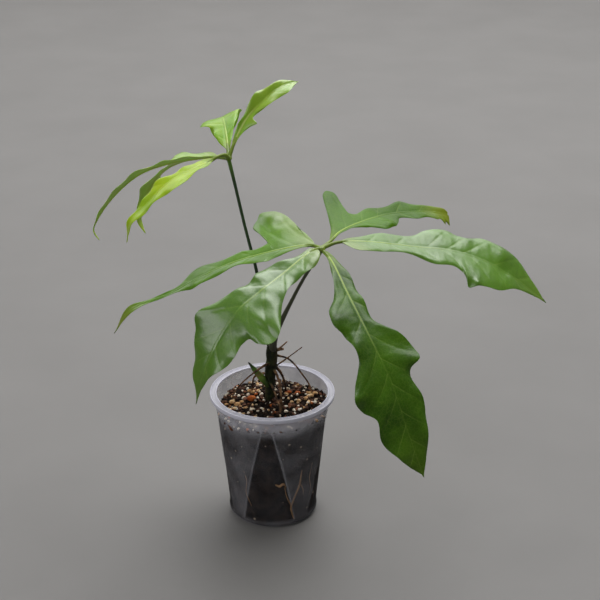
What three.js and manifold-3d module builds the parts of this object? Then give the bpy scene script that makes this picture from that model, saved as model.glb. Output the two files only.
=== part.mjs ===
// A young Anthurium clavigerum in a clear nursery pot, in millimetres, +Z up.
// The origin is the centre of the pot's underside, and -Y is the front of the plant.
// One bare stem rises from the mix and carries two leaves, each a long petiole that ends
// in a knuckle with five leaflets, besides a new shoot, aerial roots and broken stubs.
import * as THREE from 'three';
import { mergeVertices } from 'three/addons/utils/BufferGeometryUtils.js';
import Module from 'manifold-3d';

const wasm = await Module();
wasm.setup();

// Pot
const POT_HEIGHT = 95;
const RIM_RADIUS = 45;
const RIM_INNER_RADIUS = 40.6;
const RIM_DEPTH = 2.9;
const BASE_RADIUS = 32.5;
const TOP_RADIUS = 41.8;
const RIM_THICKNESS = 1.2;
const RIM_LIP = 0.95;
const WALL = 1.1;
const FLOOR = 1.4;
const FOOT_ROUNDING = 3;
const PANELS = 4;
const PANEL_TURN = -4;
const PANEL_RECESS = 0.7;
const PANEL_BOTTOM = 4.5;
const PANEL_TOP = 84;
const PANEL_HALF_ANGLE_BOTTOM = 34;
const PANEL_HALF_ANGLE_TOP = 7;
const PANEL_BEVEL = 2.4;
const DRAIN_HOLES = 6;
const DRAIN_HOLE_RADIUS = 2.6;
const DRAIN_CIRCLE_RADIUS = 20;

// Potting mix
const MIX_LEVEL = 86.5;
const MIX_MOUND = 4.5;
const MIX_MOUND_Y = 10;
const MIX_MOUND_WIDTH = 15;
const MIX_FALL = 0.002;
const CHIPS = 34;
const CHIP_REACH = 31;
const CHIP_SMALLEST = 1.5;
const CHIP_SPREAD = 1.6;

// Clearances between pieces
const GAP = 0.3;

// Leaves
const BLADE_THICKNESS = 0.7;
const KEEL_DEPTH = 0.9;
const KEEL_AT_TIP = 0.15;
const VEIN_REACH = 0.55;
const WAVE_SHIFT = 1.9;
const STALK_OVERLAP = 9;
const STALK_RADII = [1.7, 1.35, 1.2, 1.05, 0.55];
const STALK_SINK_AT_KNUCKLE = 0.25;
const STALK_SINK_AT_BLADE = 0.7;
const KNUCKLE_RADIUS = 2.7;

const UP = new THREE.Vector3(0, 0, 1);
const radians = THREE.MathUtils.degToRad;

function material(color, roughness) {
  return new THREE.MeshStandardMaterial({ color, roughness, metalness: 0, side: THREE.DoubleSide });
}

// The same draws every time
function seededRandom(seed) {
  let state = seed;
  return () => {
    state = (state + 0x6d2b79f5) | 0;
    let mixed = Math.imul(state ^ (state >>> 15), 1 | state);
    mixed = (mixed + Math.imul(mixed ^ (mixed >>> 7), 61 | mixed)) ^ mixed;
    return ((mixed ^ (mixed >>> 14)) >>> 0) / 4294967296;
  };
}

function toSolid(geometry) {
  const bare = geometry.index ? geometry.clone() : geometry;
  bare.deleteAttribute('normal');
  bare.deleteAttribute('uv');
  const merged = mergeVertices(bare, 1e-4);
  return new wasm.Manifold(new wasm.Mesh({
    numProp: 3,
    vertProperties: new Float32Array(merged.attributes.position.array),
    triVerts: new Uint32Array(merged.index.array),
  }));
}

function toMesh(solid, name, look) {
  const { vertProperties, triVerts } = solid.getMesh();
  const geometry = new THREE.BufferGeometry();
  geometry.setAttribute('position', new THREE.BufferAttribute(vertProperties, 3));
  geometry.setIndex(new THREE.BufferAttribute(triVerts, 1));
  geometry.computeVertexNormals();
  const mesh = new THREE.Mesh(geometry, look);
  mesh.name = name;
  return mesh;
}

function fromFaces(points, faces) {
  const geometry = new THREE.BufferGeometry();
  const positions = points.flatMap((point) => [point.x, point.y, point.z]);
  geometry.setAttribute('position', new THREE.Float32BufferAttribute(positions, 3));
  geometry.setIndex(faces.flat());
  return geometry;
}

function join(solids) {
  return solids.reduce((whole, solid) => whole.add(solid));
}

function smoothCurve(points) {
  return new THREE.CatmullRomCurve3(points.map((p) => new THREE.Vector3(...p)), false, 'centripetal');
}

// Tapering round limbs: a ring of corners at each step along a curve, closed by a cap at both ends.
// grow makes the same limb thicker and longer, to cut its own hole with room round it.
function limb(points, radii, sides, steps, grow = 0) {
  const curve = smoothCurve(points);
  const rings = [];
  let across = null;
  for (let step = 0; step <= steps; step += 1) {
    const t = step / steps;
    const along = curve.getTangentAt(t);
    const overrun = step === 0 ? -grow : grow;
    const centre = curve.getPointAt(t).addScaledVector(along, step % steps === 0 ? overrun : 0);
    const seed = across ?? (Math.abs(along.z) > 0.8 ? new THREE.Vector3(1, 0, 0) : UP.clone());
    across = seed.sub(along.clone().multiplyScalar(seed.dot(along))).normalize();
    const beside = new THREE.Vector3().crossVectors(along, across);
    const place = t * (radii.length - 1);
    const low = Math.min(Math.floor(place), radii.length - 2);
    const radius = THREE.MathUtils.lerp(radii[low], radii[low + 1], place - low) + grow;
    const ring = [];
    for (let side = 0; side < sides; side += 1) {
      const angle = (2 * Math.PI * side) / sides;
      ring.push(centre.clone()
        .addScaledVector(across, radius * Math.cos(angle))
        .addScaledVector(beside, radius * Math.sin(angle)));
    }
    rings.push(ring);
  }
  const points3 = rings.flat();
  const faces = [];
  for (let step = 0; step < steps; step += 1) {
    for (let side = 0; side < sides; side += 1) {
      const next = (side + 1) % sides;
      const a = step * sides + side;
      const b = step * sides + next;
      faces.push([a, b, b + sides], [a, b + sides, a + sides]);
    }
  }
  const last = steps * sides;
  for (let side = 1; side < sides - 1; side += 1) {
    faces.push([0, side + 1, side], [last, last + side, last + side + 1]);
  }
  return toSolid(fromFaces(points3, faces));
}

function lump(centre, radii, turn = 0, detail = 1) {
  const geometry = new THREE.IcosahedronGeometry(1, detail);
  geometry.scale(...radii);
  geometry.rotateZ(turn);
  geometry.translate(...centre);
  return toSolid(geometry);
}

// Pot: round wall with four tapering panels pressed inwards, a flat overhanging rim and drain holes

function wallRadius(height) {
  return THREE.MathUtils.lerp(BASE_RADIUS, TOP_RADIUS, height / POT_HEIGHT);
}

function panelHalfAngle(height) {
  const t = THREE.MathUtils.clamp((height - PANEL_BOTTOM) / (PANEL_TOP - PANEL_BOTTOM), 0, 1);
  return THREE.MathUtils.lerp(PANEL_HALF_ANGLE_BOTTOM, PANEL_HALF_ANGLE_TOP, t);
}

const PANEL_COLUMNS = [-1, -1, -0.5, 0, 0.5, 1, 1];
const PANEL_COLUMN_BEVELS = [0, 1, 0.5, 0, -0.5, -1, 0];
const BETWEEN_COLUMNS = 4;

// Angle and depth of every column at a height: depth 1 is inside a panel, 0 is on the plain wall
function wallColumns(height) {
  const half = panelHalfAngle(height);
  const columns = [];
  for (let panel = 0; panel < PANELS; panel += 1) {
    const middle = PANEL_TURN - 90 + (360 / PANELS) * panel;
    PANEL_COLUMNS.forEach((side, index) => {
      const angle = middle + side * half + PANEL_COLUMN_BEVELS[index] * PANEL_BEVEL;
      columns.push({ angle, depth: index === 0 || index === PANEL_COLUMNS.length - 1 ? 0 : 1 });
    });
    const span = 360 / PANELS - 2 * half;
    for (let index = 1; index <= BETWEEN_COLUMNS; index += 1) {
      columns.push({ angle: middle + half + (span * index) / (BETWEEN_COLUMNS + 1), depth: 0 });
    }
  }
  return columns;
}

function wallRing(radius, height, panelHeight, recess) {
  return wallColumns(panelHeight).map(({ angle, depth }) => {
    const reach = radius - recess * depth;
    const turn = radians(angle);
    return new THREE.Vector3(reach * Math.cos(turn), reach * Math.sin(turn), height);
  });
}

// Closes a stack of rings; walls that run up and down the same face are split along the same diagonals
function ringsToSolid(rings) {
  const width = rings[0].length;
  const points = rings.flat();
  const faces = [];
  for (let row = 0; row < rings.length - 1; row += 1) {
    const falls = rings[row + 1][0].z < rings[row][0].z;
    for (let column = 0; column < width; column += 1) {
      const next = (column + 1) % width;
      const a = row * width + column;
      const b = row * width + next;
      if (falls) faces.push([a, b, a + width], [b, b + width, a + width]);
      else faces.push([a, b, b + width], [a, b + width, a + width]);
    }
  }
  const first = points.length;
  const centre = (ring) => ring.reduce((sum, p) => sum.add(p), new THREE.Vector3()).divideScalar(width);
  points.push(centre(rings[0]), centre(rings[rings.length - 1]));
  const top = (rings.length - 1) * width;
  for (let column = 0; column < width; column += 1) {
    const next = (column + 1) % width;
    faces.push([first, next, column], [first + 1, top + column, top + next]);
  }
  return toSolid(fromFaces(points, faces));
}

const PANEL_HEIGHTS = [PANEL_BOTTOM + 2, 32, 58, PANEL_TOP - 3];

function pot() {
  // Each ring is [radius, height, recess]
  const outer = [
    [BASE_RADIUS - FOOT_ROUNDING, 0, 0],
    [BASE_RADIUS - FOOT_ROUNDING / 5, FOOT_ROUNDING / 4, 0],
    [wallRadius(FOOT_ROUNDING), FOOT_ROUNDING, 0],
    [wallRadius(PANEL_BOTTOM), PANEL_BOTTOM, 0],
    ...PANEL_HEIGHTS.map((height) => [wallRadius(height), height, PANEL_RECESS]),
    [wallRadius(PANEL_TOP), PANEL_TOP, 0],
    [TOP_RADIUS, POT_HEIGHT - RIM_THICKNESS, 0],
    [RIM_RADIUS - RIM_LIP, POT_HEIGHT - RIM_THICKNESS, 0],
    [RIM_RADIUS - RIM_LIP, POT_HEIGHT - RIM_DEPTH, 0],
    [RIM_RADIUS, POT_HEIGHT - RIM_DEPTH, 0],
    [RIM_RADIUS, POT_HEIGHT - 0.5, 0],
    [RIM_RADIUS - 0.6, POT_HEIGHT, 0],
    [RIM_INNER_RADIUS + 0.4, POT_HEIGHT, 0],
  ];
  const inner = [
    [wallRadius(POT_HEIGHT) - WALL, POT_HEIGHT - 1, 0],
    [wallRadius(PANEL_TOP) - WALL, PANEL_TOP, 0],
    ...PANEL_HEIGHTS.slice().reverse().map((height) => [wallRadius(height) - WALL, height, PANEL_RECESS]),
    [wallRadius(PANEL_BOTTOM) - WALL, PANEL_BOTTOM, 0],
    [BASE_RADIUS - FOOT_ROUNDING / 2 - WALL, FLOOR, 0],
  ];
  const rings = [...outer, ...inner].map(([radius, height, recess]) => (
    wallRing(radius, height, height, recess)));
  let body = ringsToSolid(rings);
  for (let hole = 0; hole < DRAIN_HOLES; hole += 1) {
    const turn = (2 * Math.PI * (hole + 0.5)) / DRAIN_HOLES;
    const drill = new THREE.CylinderGeometry(DRAIN_HOLE_RADIUS, DRAIN_HOLE_RADIUS, 4 * FLOOR, 10);
    drill.rotateX(Math.PI / 2);
    drill.translate(DRAIN_CIRCLE_RADIUS * Math.cos(turn), DRAIN_CIRCLE_RADIUS * Math.sin(turn), 0);
    body = body.subtract(toSolid(drill));
  }
  return body;
}

// Potting mix: fills the pot to just below the rim, lumpy and heaped round the stem

function mixHeight(x, y) {
  const mound = Math.exp(-(x * x + (y - MIX_MOUND_Y) ** 2) / (2 * MIX_MOUND_WIDTH ** 2));
  const rise = MIX_MOUND * mound - MIX_FALL * Math.max(y, 0) ** 2;
  const lumps = 0.8 * Math.sin(0.61 * x + 1.3) * Math.cos(0.53 * y + 0.4)
    + 0.5 * Math.sin(1.07 * x - 0.71 * y) + 0.35 * Math.cos(1.31 * y + 0.83 * x);
  return MIX_LEVEL + rise + lumps;
}

function mixSideRadius(height) {
  return wallRadius(height) - WALL - GAP;
}

function pottingMix(cutters) {
  const sideHeights = [PANEL_BOTTOM, ...PANEL_HEIGHTS];
  const sides = sideHeights.map((height, index) => (
    wallRing(mixSideRadius(height), height, height, index === 0 ? 0 : PANEL_RECESS)));
  const foot = wallRing(mixSideRadius(0) - FOOT_ROUNDING / 2, FLOOR + GAP, FLOOR, 0);
  const shoulder = PANEL_HEIGHTS[PANEL_HEIGHTS.length - 1];
  const rings = [foot, ...sides];
  const surfaceRings = 10;
  for (let ring = 0; ring < surfaceRings; ring += 1) {
    const share = 1 - ring / surfaceRings;
    rings.push(wallRing(mixSideRadius(shoulder) * share, 0, shoulder, PANEL_RECESS * share).map((point) => (
      point.setZ(mixHeight(point.x, point.y)))));
  }
  let body = ringsToSolid(rings);
  const random = seededRandom(71);
  for (let chip = 0; chip < CHIPS; chip += 1) {
    const reach = CHIP_REACH * Math.sqrt(random());
    const turn = 2 * Math.PI * random();
    const x = reach * Math.cos(turn);
    const y = reach * Math.sin(turn);
    const size = CHIP_SMALLEST + CHIP_SPREAD * random();
    const radii = [size * (1 + random()), size, size * 0.9];
    body = body.add(lump([x, y, mixHeight(x, y) + 0.25 * size], radii, Math.PI * random(), 0));
  }
  return cutters.reduce((left, cutter) => left.subtract(cutter), body);
}

// Stem with its aerial roots, broken stubs and roots, all grown as one piece

const STEM = {
  points: [[-2, 1, 62], [-2, 0, 88], [-1.6, 0, 102], [-1.2, 0, 113], [0.2, 0, 124], [0.4, 0, 131.5]],
  radii: [2.6, 3, 3.3, 3.7, 4.1, 3.4], sides: 12, steps: 11,
};

const ROOTS = [
  { points: [[0, 0, 126], [5, 4, 122.5], [11, 7, 119], [17, 9, 112], [21, 11, 105], [26, 13, 96],
    [30, 15, 84]], radii: [1.3, 0.8, 0.75, 0.75, 0.7], sides: 6, steps: 12 },
  { points: [[0, 1, 117], [3.5, 4, 112.5], [6.8, 7, 106], [9, 9, 97], [10, 10, 84]],
    radii: [1.5, 1.1, 1, 0.9], sides: 6, steps: 8 },
  { points: [[-1, -1, 118.5], [-4.8, -7, 120.6], [-8.5, -8.6, 118.8], [-12, -8.3, 115.9], [-20.8, -4, 105.6],
    [-28.3, 3, 91.4], [-30, 6, 81]], radii: [1.3, 0.75, 0.7, 0.65], sides: 6, steps: 12 },
  { points: [[-2, 1, 110], [-8, 7, 106.5], [-13, 9, 103], [-14.6, 10, 95], [-15, 10, 84]],
    radii: [1.2, 0.7, 0.6], sides: 6, steps: 8 },
  { points: [[-1, 0, 117], [3, -5, 113], [5.5, -8, 106], [6.5, -11, 98], [6.6, -13, 90], [7, -15, 80]],
    radii: [1.6, 1.3, 1.3, 1.2, 1.1], sides: 7, steps: 10 },
  { points: [[-2, -1, 106], [0.5, -6, 102], [3.4, -12, 97], [5.8, -17, 91], [6.5, -20, 80]],
    radii: [1.1, 0.8, 1, 1.1], sides: 6, steps: 8 },
];

const STUBS = [
  { points: [[0, 0, 128], [4.5, -1, 130], [8.5, -1, 130.6]], radii: [1.5, 1.2, 0.8], sides: 6, steps: 4 },
  { points: [[3.5, -1, 129.5], [7, -1, 132.5], [11, -1, 136.5]], radii: [0.9, 0.65, 0.45],
    sides: 6, steps: 4 },
  { points: [[0, 1, 114], [8, 2, 119.5], [21.5, 3, 130]], radii: [0.8, 0.5, 0.4], sides: 6, steps: 5 },
];

const SHEATH = {
  points: [[-1.4, -0.5, 122], [-2.6, -1, 128], [-2.9, -1.2, 132.6]],
  radii: [2.6, 1.9, 0.7], sides: 8, steps: 4,
};

function grown(piece, grow = 0) {
  return limb(piece.points, piece.radii, piece.sides, piece.steps, grow);
}

function stem(grow = 0) {
  return join([STEM, ...ROOTS, ...STUBS, SHEATH].map((piece) => grown(piece, grow)));
}

// New shoot: a spear-shaped green sheath that breaks out low on the stem

const SHOOT = {
  points: [[-3, -2, 101.5], [-6.6, -3.2, 107.5], [-11, -4, 113.5], [-16.6, -4.4, 121.5]],
  radii: [3.1, 3.3, 2.4, 0.45], sides: 8, steps: 8,
};

// Petioles

const PETIOLE_1 = {
  points: [[0.8, -1.6, 134.2], [2.4, -3.2, 142.8], [8, -8, 158], [13, -13, 171], [20, -19, 188.3],
    [25.6, -24, 201], [31.5, -28.6, 213], [33.7, -30, 217]],
  radii: [2.7, 2.1, 1.7, 1.5, 1.45, 1.5, 1.6], sides: 9, steps: 16,
};

const PETIOLE_2 = {
  points: [[-1.6, 2.2, 131], [-4.4, 5.2, 148], [-7.4, 8.6, 167], [-11, 12.3, 187.3], [-14.2, 14.4, 200],
    [-19, 16.8, 219.8], [-25.6, 20, 250], [-28.4, 21.6, 262.4]],
  radii: [2, 1.6, 1.45, 1.4, 1.35, 1.35, 1.5], sides: 9, steps: 18,
};

// Leaflets. The rib holds [x, y, z, roll]: points along the midrib, and how far the left side is
// raised there, in degrees. The margins hold [along the midrib, out from it] in the flat blade.

const LEAF_1 = {
  knuckle: [34.4, -31, 219.9],
  across: [0.34, 0.68, 1],
  leaflets: {
    middle: {
      rib: [[34, -30, 220, 0], [40, -40, 217, 0], [52, -70, 203, -4], [66, -96, 183, -4],
        [78, -112, 162, 0], [87, -125, 138, 4], [99, -136, 106, 0]],
      left: [[3, 1.5], [18, 5], [29, 7], [54, 8], [68, 9], [75, 14], [82, 21], [95, 27], [104, 26],
        [108, 18], [112, 16], [129, 18], [145, 15], [161, 9], [175, 0]],
      right: [[3, -1.5], [18, -3], [39, -8], [48, -12], [57, -20], [67, -22], [74, -17], [91, -15],
        [98, -19], [107, -26], [117, -31], [125, -26], [132, -19], [144, -20], [160, -12], [175, 0]],
      fold: 8, droop: 0.004, wave: 1.4, waves: 7, rows: 30,
    },
    right_front: {
      rib: [[34, -30, 220, 0], [44, -24, 222, 8], [61, -12, 218, 15], [99, 5, 207, 24],
        [131, 14, 199, 32], [161, 18, 185, 36], [197, 22, 156, 30]],
      left: [[17, 1.2], [26, 4], [37, 6], [55, 11], [78, 11], [88, 16], [106, 20], [117, 16], [127, 21],
        [140, 22], [158, 20], [175, 11], [188, 0]],
      right: [[16, -1.2], [17, -8], [21, -13], [46, -11], [71, -9], [89, -16], [105, -15], [113, -19],
        [119, -28], [131, -25], [147, -20], [159, -11], [175, -4], [188, 0]],
      fold: 6, droop: 0.003, wave: 1.4, waves: 8, rows: 32,
    },
    right_back: {
      rib: [[34, -30, 220, 0], [40, -20, 221, 0], [47, -5, 222, 5], [62, 18, 220, 12], [86, 45, 216, 20],
        [115, 66, 209, 20], [131, 76, 202, 0]],
      left: [[14, 1.2], [27, 6], [39, 15], [49, 25], [61, 39], [66, 41], [68, 36], [63, 24], [59, 14],
        [63, 10], [77, 11], [94, 9], [109, 13], [119, 8], [134, 6], [147, 0]],
      right: [[14, -1.2], [30, -2], [49, -5], [59, -11], [67, -16], [78, -16], [88, -11], [95, -6],
        [109, -9], [130, -7], [147, 0]],
      fold: 4, droop: 0, wave: 1.2, waves: 6, rows: 28,
    },
    left_back: {
      rib: [[34, -30, 220, 0], [29, -24, 220, 0], [20, -20, 218, -10], [0, -16, 212, -16],
        [-26, -14, 203, -17], [-49, -14, 192, -17], [-69, -16, 181, -25], [-97, -20, 170, -36],
        [-109, -20, 152, -36]],
      left: [[10, 1.5], [22, 6], [35, 10], [42, 13], [50, 10], [61, 7], [76, 8], [90, 11], [97, 12],
        [108, 7], [120, 5], [140, 5], [155, 3], [165, 0]],
      right: [[10, -1.5], [17, -12], [24, -25], [33, -43], [42, -51], [48.5, -51], [50.5, -44],
        [53.5, -37], [46, -22], [43, -12], [49, -8], [61, -11], [73, -8], [90, -14], [98, -10], [110, -6],
        [128, -6], [150, -4], [165, 0]],
      fold: 4, droop: 0, wave: 1, waves: 7, rows: 32,
    },
    left_front: {
      rib: [[34, -30, 220, 0], [28, -38, 222, -5], [10, -56, 214, -15], [-5, -72, 208, -20],
        [-20, -86, 200, -22], [-34, -98, 182, -15], [-43, -105, 160, 0], [-47, -108, 144, 0]],
      left: [[6, 1.5], [11, 8], [20, 12], [36, 11], [46, 12], [58, 17], [66, 24], [75, 31.5], [84, 33],
        [90, 31], [93.5, 25], [93.5, 18], [99, 16], [109, 17], [121, 12], [131, 5], [146, 0]],
      right: [[6, -1.5], [25, -5], [37, -10], [48, -13], [58, -11], [72, -12], [84, -16], [98, -22],
        [106, -18], [118, -13], [131, -9], [146, 0]],
      fold: 6, droop: 0.004, wave: 1.4, waves: 7, rows: 30,
    },
  },
};

const LEAF_2 = {
  knuckle: [-29.2, 22, 265.4],
  across: [0.5, 1],
  leaflets: {
    upper_right: {
      rib: [[-29, 22, 265.6, 0], [-27, 26, 271, 0], [-24, 32, 277, 10], [-17, 40, 288, 20],
        [-6, 48, 298, 25], [6, 58, 305, 15], [19, 66, 307, 0]],
      left: [[10, 1], [23, 3], [32, 3], [41, 6], [49, 8], [59, 5], [70, 5], [80, 0]],
      right: [[10, -1], [20, -3], [27, -6], [32, -9], [34, -4], [46, -5], [59, -7], [68, -8], [76, -3],
        [80, 0]],
      fold: 18, droop: 0, wave: 0.8, waves: 4, rows: 18,
    },
    back: {
      rib: [[-29, 22, 265.6, 0], [-30, 32, 270, -8], [-32, 48, 276, -20], [-34, 62, 279, -24],
        [-36, 76, 278, -20], [-37, 90, 270, -10], [-38, 100, 256, 0]],
      left: [[9, 1.2], [16, 5], [26, 8], [38, 9], [44, 12], [51, 17], [57, 17], [66, 12], [80, 9],
        [92, 5], [100, 0]],
      right: [[9, -1.2], [25, -5], [45, -11], [58, -15], [64, -15], [76, -12], [90, -7], [100, 0]],
      fold: 4, droop: 0, wave: 0.8, waves: 5, rows: 20,
    },
    left_long: {
      rib: [[-29, 22, 265.6, 0], [-37, 27, 265, 5], [-53, 34, 261, 10], [-75, 42, 254, 10],
        [-95, 47, 244, 8], [-114, 50, 226, 0], [-126, 50, 209, 0], [-129, 49, 201, 0],
        [-125, 47, 194, 0]],
      left: [[10, 1.2], [20, 6], [40, 8], [56, 6], [76, 8], [95, 7], [108, 6], [118, 3], [139, 0]],
      right: [[10, -1.2], [16, -6], [24, -10], [34, -11], [46, -18], [50, -17], [50, -8], [54, -5],
        [74, -6], [90, -5], [112, -4], [125, -3], [139, 0]],
      fold: 20, droop: 0, wave: 0.7, waves: 6, rows: 24,
    },
    left_drooping: {
      rib: [[-29, 22, 265.6, 0], [-39, 35, 262, 0], [-58, 53, 254, 0], [-77, 68, 241, 0],
        [-89, 78, 224, 0], [-98, 82, 204, 0], [-100, 82, 195, 0], [-95, 80, 186, 0]],
      left: [[14, 1.2], [30, 4], [50, 6], [66, 5], [78, 3], [86, 7], [94, 10], [102, 8], [112, 5],
        [124, 2], [137, 0]],
      right: [[14, -1.2], [30, -4], [50, -6], [66, -3], [76, -2], [84, -4], [93, -9], [105, -11],
        [115, -9], [123, -5], [130, -3], [137, 0]],
      fold: 12, droop: 0, wave: 0.6, waves: 6, rows: 22,
    },
    front: {
      rib: [[-29, 22, 265.6, 0], [-33, 16, 270.5, 0], [-41, 10, 268, 0], [-54, 0, 265, -5],
        [-70, -10, 258, -8], [-84, -16, 245, 0], [-94, -20, 235, 0], [-97, -20, 220, 0]],
      left: [[17, 1.2], [24, 6], [34, 8], [46, 12], [55, 14], [63, 9], [78, 8], [86, 8], [96, 4],
        [106, 0]],
      right: [[16, -1.2], [24, -5], [47, -6], [61, -9], [78, -5], [92, -3], [106, 0]],
      fold: 10, droop: 0, wave: 0.9, waves: 5, rows: 22,
    },
  },
};

const DENSE = 24;

// Points along a rib with a frame carried from one to the next, never twisting on its own
function ribFrames(rib) {
  const curve = smoothCurve(rib.map(([x, y, z]) => [x, y, z]));
  const count = (rib.length - 1) * DENSE;
  const frames = [];
  let length = 0;
  for (let index = 0; index <= count; index += 1) {
    const t = index / count;
    const place = curve.getPoint(t);
    const low = Math.min(Math.floor(index / DENSE), rib.length - 2);
    const roll = THREE.MathUtils.lerp(rib[low][3], rib[low + 1][3], index / DENSE - low);
    if (index > 0) length += place.distanceTo(frames[index - 1].place);
    frames.push({ place, roll: radians(roll), length });
  }
  let over = UP.clone();
  frames.forEach((frame, index) => {
    const before = frames[Math.max(index - 1, 0)].place;
    const after = frames[Math.min(index + 1, count)].place;
    frame.along = after.clone().sub(before).normalize();
    over = over.clone().addScaledVector(frame.along, -over.dot(frame.along)).normalize();
    frame.over = over;
  });
  return frames;
}

function frameAt(frames, along) {
  const whole = frames[frames.length - 1].length;
  const held = THREE.MathUtils.clamp(along, 0, whole);
  let index = frames.findIndex((frame) => frame.length > held) - 1;
  if (index < 0) index = frames.length - 2;
  const a = frames[index];
  const b = frames[index + 1];
  const share = (held - a.length) / (b.length - a.length);
  const place = a.place.clone().lerp(b.place, share);
  const ahead = a.along.clone().lerp(b.along, share).normalize();
  const over = a.over.clone().lerp(b.over, share).normalize();
  const roll = THREE.MathUtils.lerp(a.roll, b.roll, share);
  const left = new THREE.Vector3().crossVectors(over, ahead);
  const raised = left.clone().multiplyScalar(Math.cos(roll)).addScaledVector(over, Math.sin(roll));
  const top = over.clone().multiplyScalar(Math.cos(roll)).addScaledVector(left, -Math.sin(roll));
  return { place: place.addScaledVector(ahead, along - held), left: raised, top };
}

// Margin points, one for each row, spaced evenly by how far both the margin and the side veins run
function marginRows(margin, ribLength, rows) {
  const curve = smoothCurve(margin.map(([u, v]) => [u, v, 0]));
  const count = (margin.length - 1) * DENSE;
  const points = [];
  let run = 0;
  let foot = 0;
  for (let index = 0; index <= count; index += 1) {
    const point = curve.getPoint(index / count);
    if (index > 0) run += point.distanceTo(points[index - 1].point);
    foot = Math.max(foot, Math.min(point.x - VEIN_REACH * Math.abs(point.y), ribLength));
    points.push({ point, run, foot });
  }
  const start = points[0].foot;
  const whole = points[count];
  points.forEach((entry) => {
    entry.share = 0.5 * (entry.run / whole.run) + 0.5 * ((entry.foot - start) / (whole.foot - start));
  });
  const rowsOut = [];
  for (let row = 0; row < rows; row += 1) {
    const share = row / rows;
    const index = Math.max(points.findIndex((entry) => entry.share > share) - 1, 0);
    const a = points[index];
    const b = points[index + 1];
    rowsOut.push(a.point.clone().lerp(b.point, (share - a.share) / (b.share - a.share)));
  }
  return rowsOut;
}

// A thin waved blade: two faces split into triangles alike, with a keel under the midrib
function leaflet({ rib, left, right, fold, droop, wave, waves, rows }, across) {
  const frames = ribFrames(rib);
  const ribLength = frames[frames.length - 1].length;
  const sides = [marginRows(right, ribLength, rows), marginRows(left, ribLength, rows)];
  const start = Math.min(left[0][0], right[0][0]);
  const lift = Math.sin(radians(fold));
  const spread = Math.cos(radians(fold));
  const blade = (u, v, height) => {
    const { place, left: aside, top } = frameAt(frames, u);
    return place.addScaledVector(aside, v * spread)
      .addScaledVector(top, Math.abs(v) * lift - droop * v * v + height);
  };
  const grid = [];
  const faces = [];
  const width = 2 * across.length + 1;
  for (let row = 0; row < rows; row += 1) {
    const foot = start + ((ribLength - start) * row) / rows;
    const swell = wave * Math.sqrt(Math.sin((Math.PI * row) / rows));
    const ripple = (side, t) => (
      swell * t * t * Math.sin((2 * Math.PI * waves * row) / rows + WAVE_SHIFT * side));
    const point = (side, t) => {
      const end = sides[side][row];
      return blade(foot + (end.x - foot) * t, end.y * t, ripple(side, t));
    };
    across.slice().reverse().forEach((t) => grid.push(point(0, t)));
    grid.push(blade(foot, 0, 0));
    across.forEach((t) => grid.push(point(1, t)));
  }
  const tip = grid.length;
  grid.push(blade(ribLength, 0, 0));
  for (let row = 0; row < rows; row += 1) {
    for (let column = 0; column < width - 1; column += 1) {
      const a = row * width + column;
      if (row === rows - 1) faces.push([a, tip, a + 1]);
      else if (column < across.length) faces.push([a, a + width, a + 1], [a + 1, a + width, a + width + 1]);
      else faces.push([a, a + width + 1, a + 1], [a, a + width, a + width + 1]);
    }
  }
  return sheetSolid(grid, faces, (index) => {
    const row = Math.floor(index / width);
    const onRib = index % width === across.length || index === tip;
    return onRib ? KEEL_DEPTH * (1 - row / rows) + KEEL_AT_TIP : 0;
  });
}

// Thickens an open sheet downwards and closes it round its edge; extra says how much deeper each point goes
function sheetSolid(points, faces, extra) {
  const normals = points.map(() => new THREE.Vector3());
  faces.forEach(([a, b, c]) => {
    const normal = new THREE.Vector3().crossVectors(
      points[b].clone().sub(points[a]), points[c].clone().sub(points[a]));
    [a, b, c].forEach((corner) => normals[corner].add(normal));
  });
  const count = points.length;
  const under = points.map((point, index) => (
    point.clone().addScaledVector(normals[index].normalize(), BLADE_THICKNESS + extra(index))));
  const edges = new Map();
  faces.forEach(([a, b, c]) => [[a, b], [b, c], [c, a]].forEach(([from, to]) => {
    const back = `${to} ${from}`;
    if (edges.has(back)) edges.delete(back);
    else edges.set(`${from} ${to}`, [from, to]);
  }));
  const shell = [];
  faces.forEach(([a, b, c]) => shell.push([a, c, b], [a + count, b + count, c + count]));
  edges.forEach(([from, to]) => shell.push([from, to, to + count], [from, to + count, from + count]));
  return toSolid(fromFaces([...points, ...under], shell));
}

// The stalk between the knuckle and the foot of a blade, sunk under the midrib
function stalk({ rib, left, right }) {
  const frames = ribFrames(rib);
  const reach = Math.max(left[0][0], right[0][0]) + STALK_OVERLAP;
  const points = [0, 0.25, 0.5, 0.75, 1].map((share) => {
    const { place, top } = frameAt(frames, share * reach);
    const sink = THREE.MathUtils.lerp(STALK_SINK_AT_KNUCKLE, STALK_SINK_AT_BLADE, share);
    return place.addScaledVector(top, -sink).toArray();
  });
  return limb(points, STALK_RADII, 6, 5);
}

function petiole(shape, knuckle, stemRoom) {
  const knuckleRoom = lump(knuckle, Array(3).fill(KNUCKLE_RADIUS + 1.5 * GAP));
  return grown(shape).subtract(stemRoom).subtract(knuckleRoom);
}

function leaf({ knuckle, across, leaflets }) {
  const pieces = Object.values(leaflets).flatMap((shape) => [stalk(shape), leaflet(shape, across)]);
  return join([lump(knuckle, Array(3).fill(KNUCKLE_RADIUS)), ...pieces]);
}

// Assembly

const POT_LOOK = material(0xd6dadd, 0.35);
const MIX_LOOK = material(0x3a2a20, 0.95);
const STEM_LOOK = material(0x23271a, 0.7);
const SHOOT_LOOK = material(0x3f5a1a, 0.5);
const PETIOLE_LOOK = material(0x24361a, 0.5);
const OLD_LEAF_LOOK = material(0x3f7a28, 0.45);
const YOUNG_LEAF_LOOK = material(0x86ad3c, 0.4);

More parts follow.
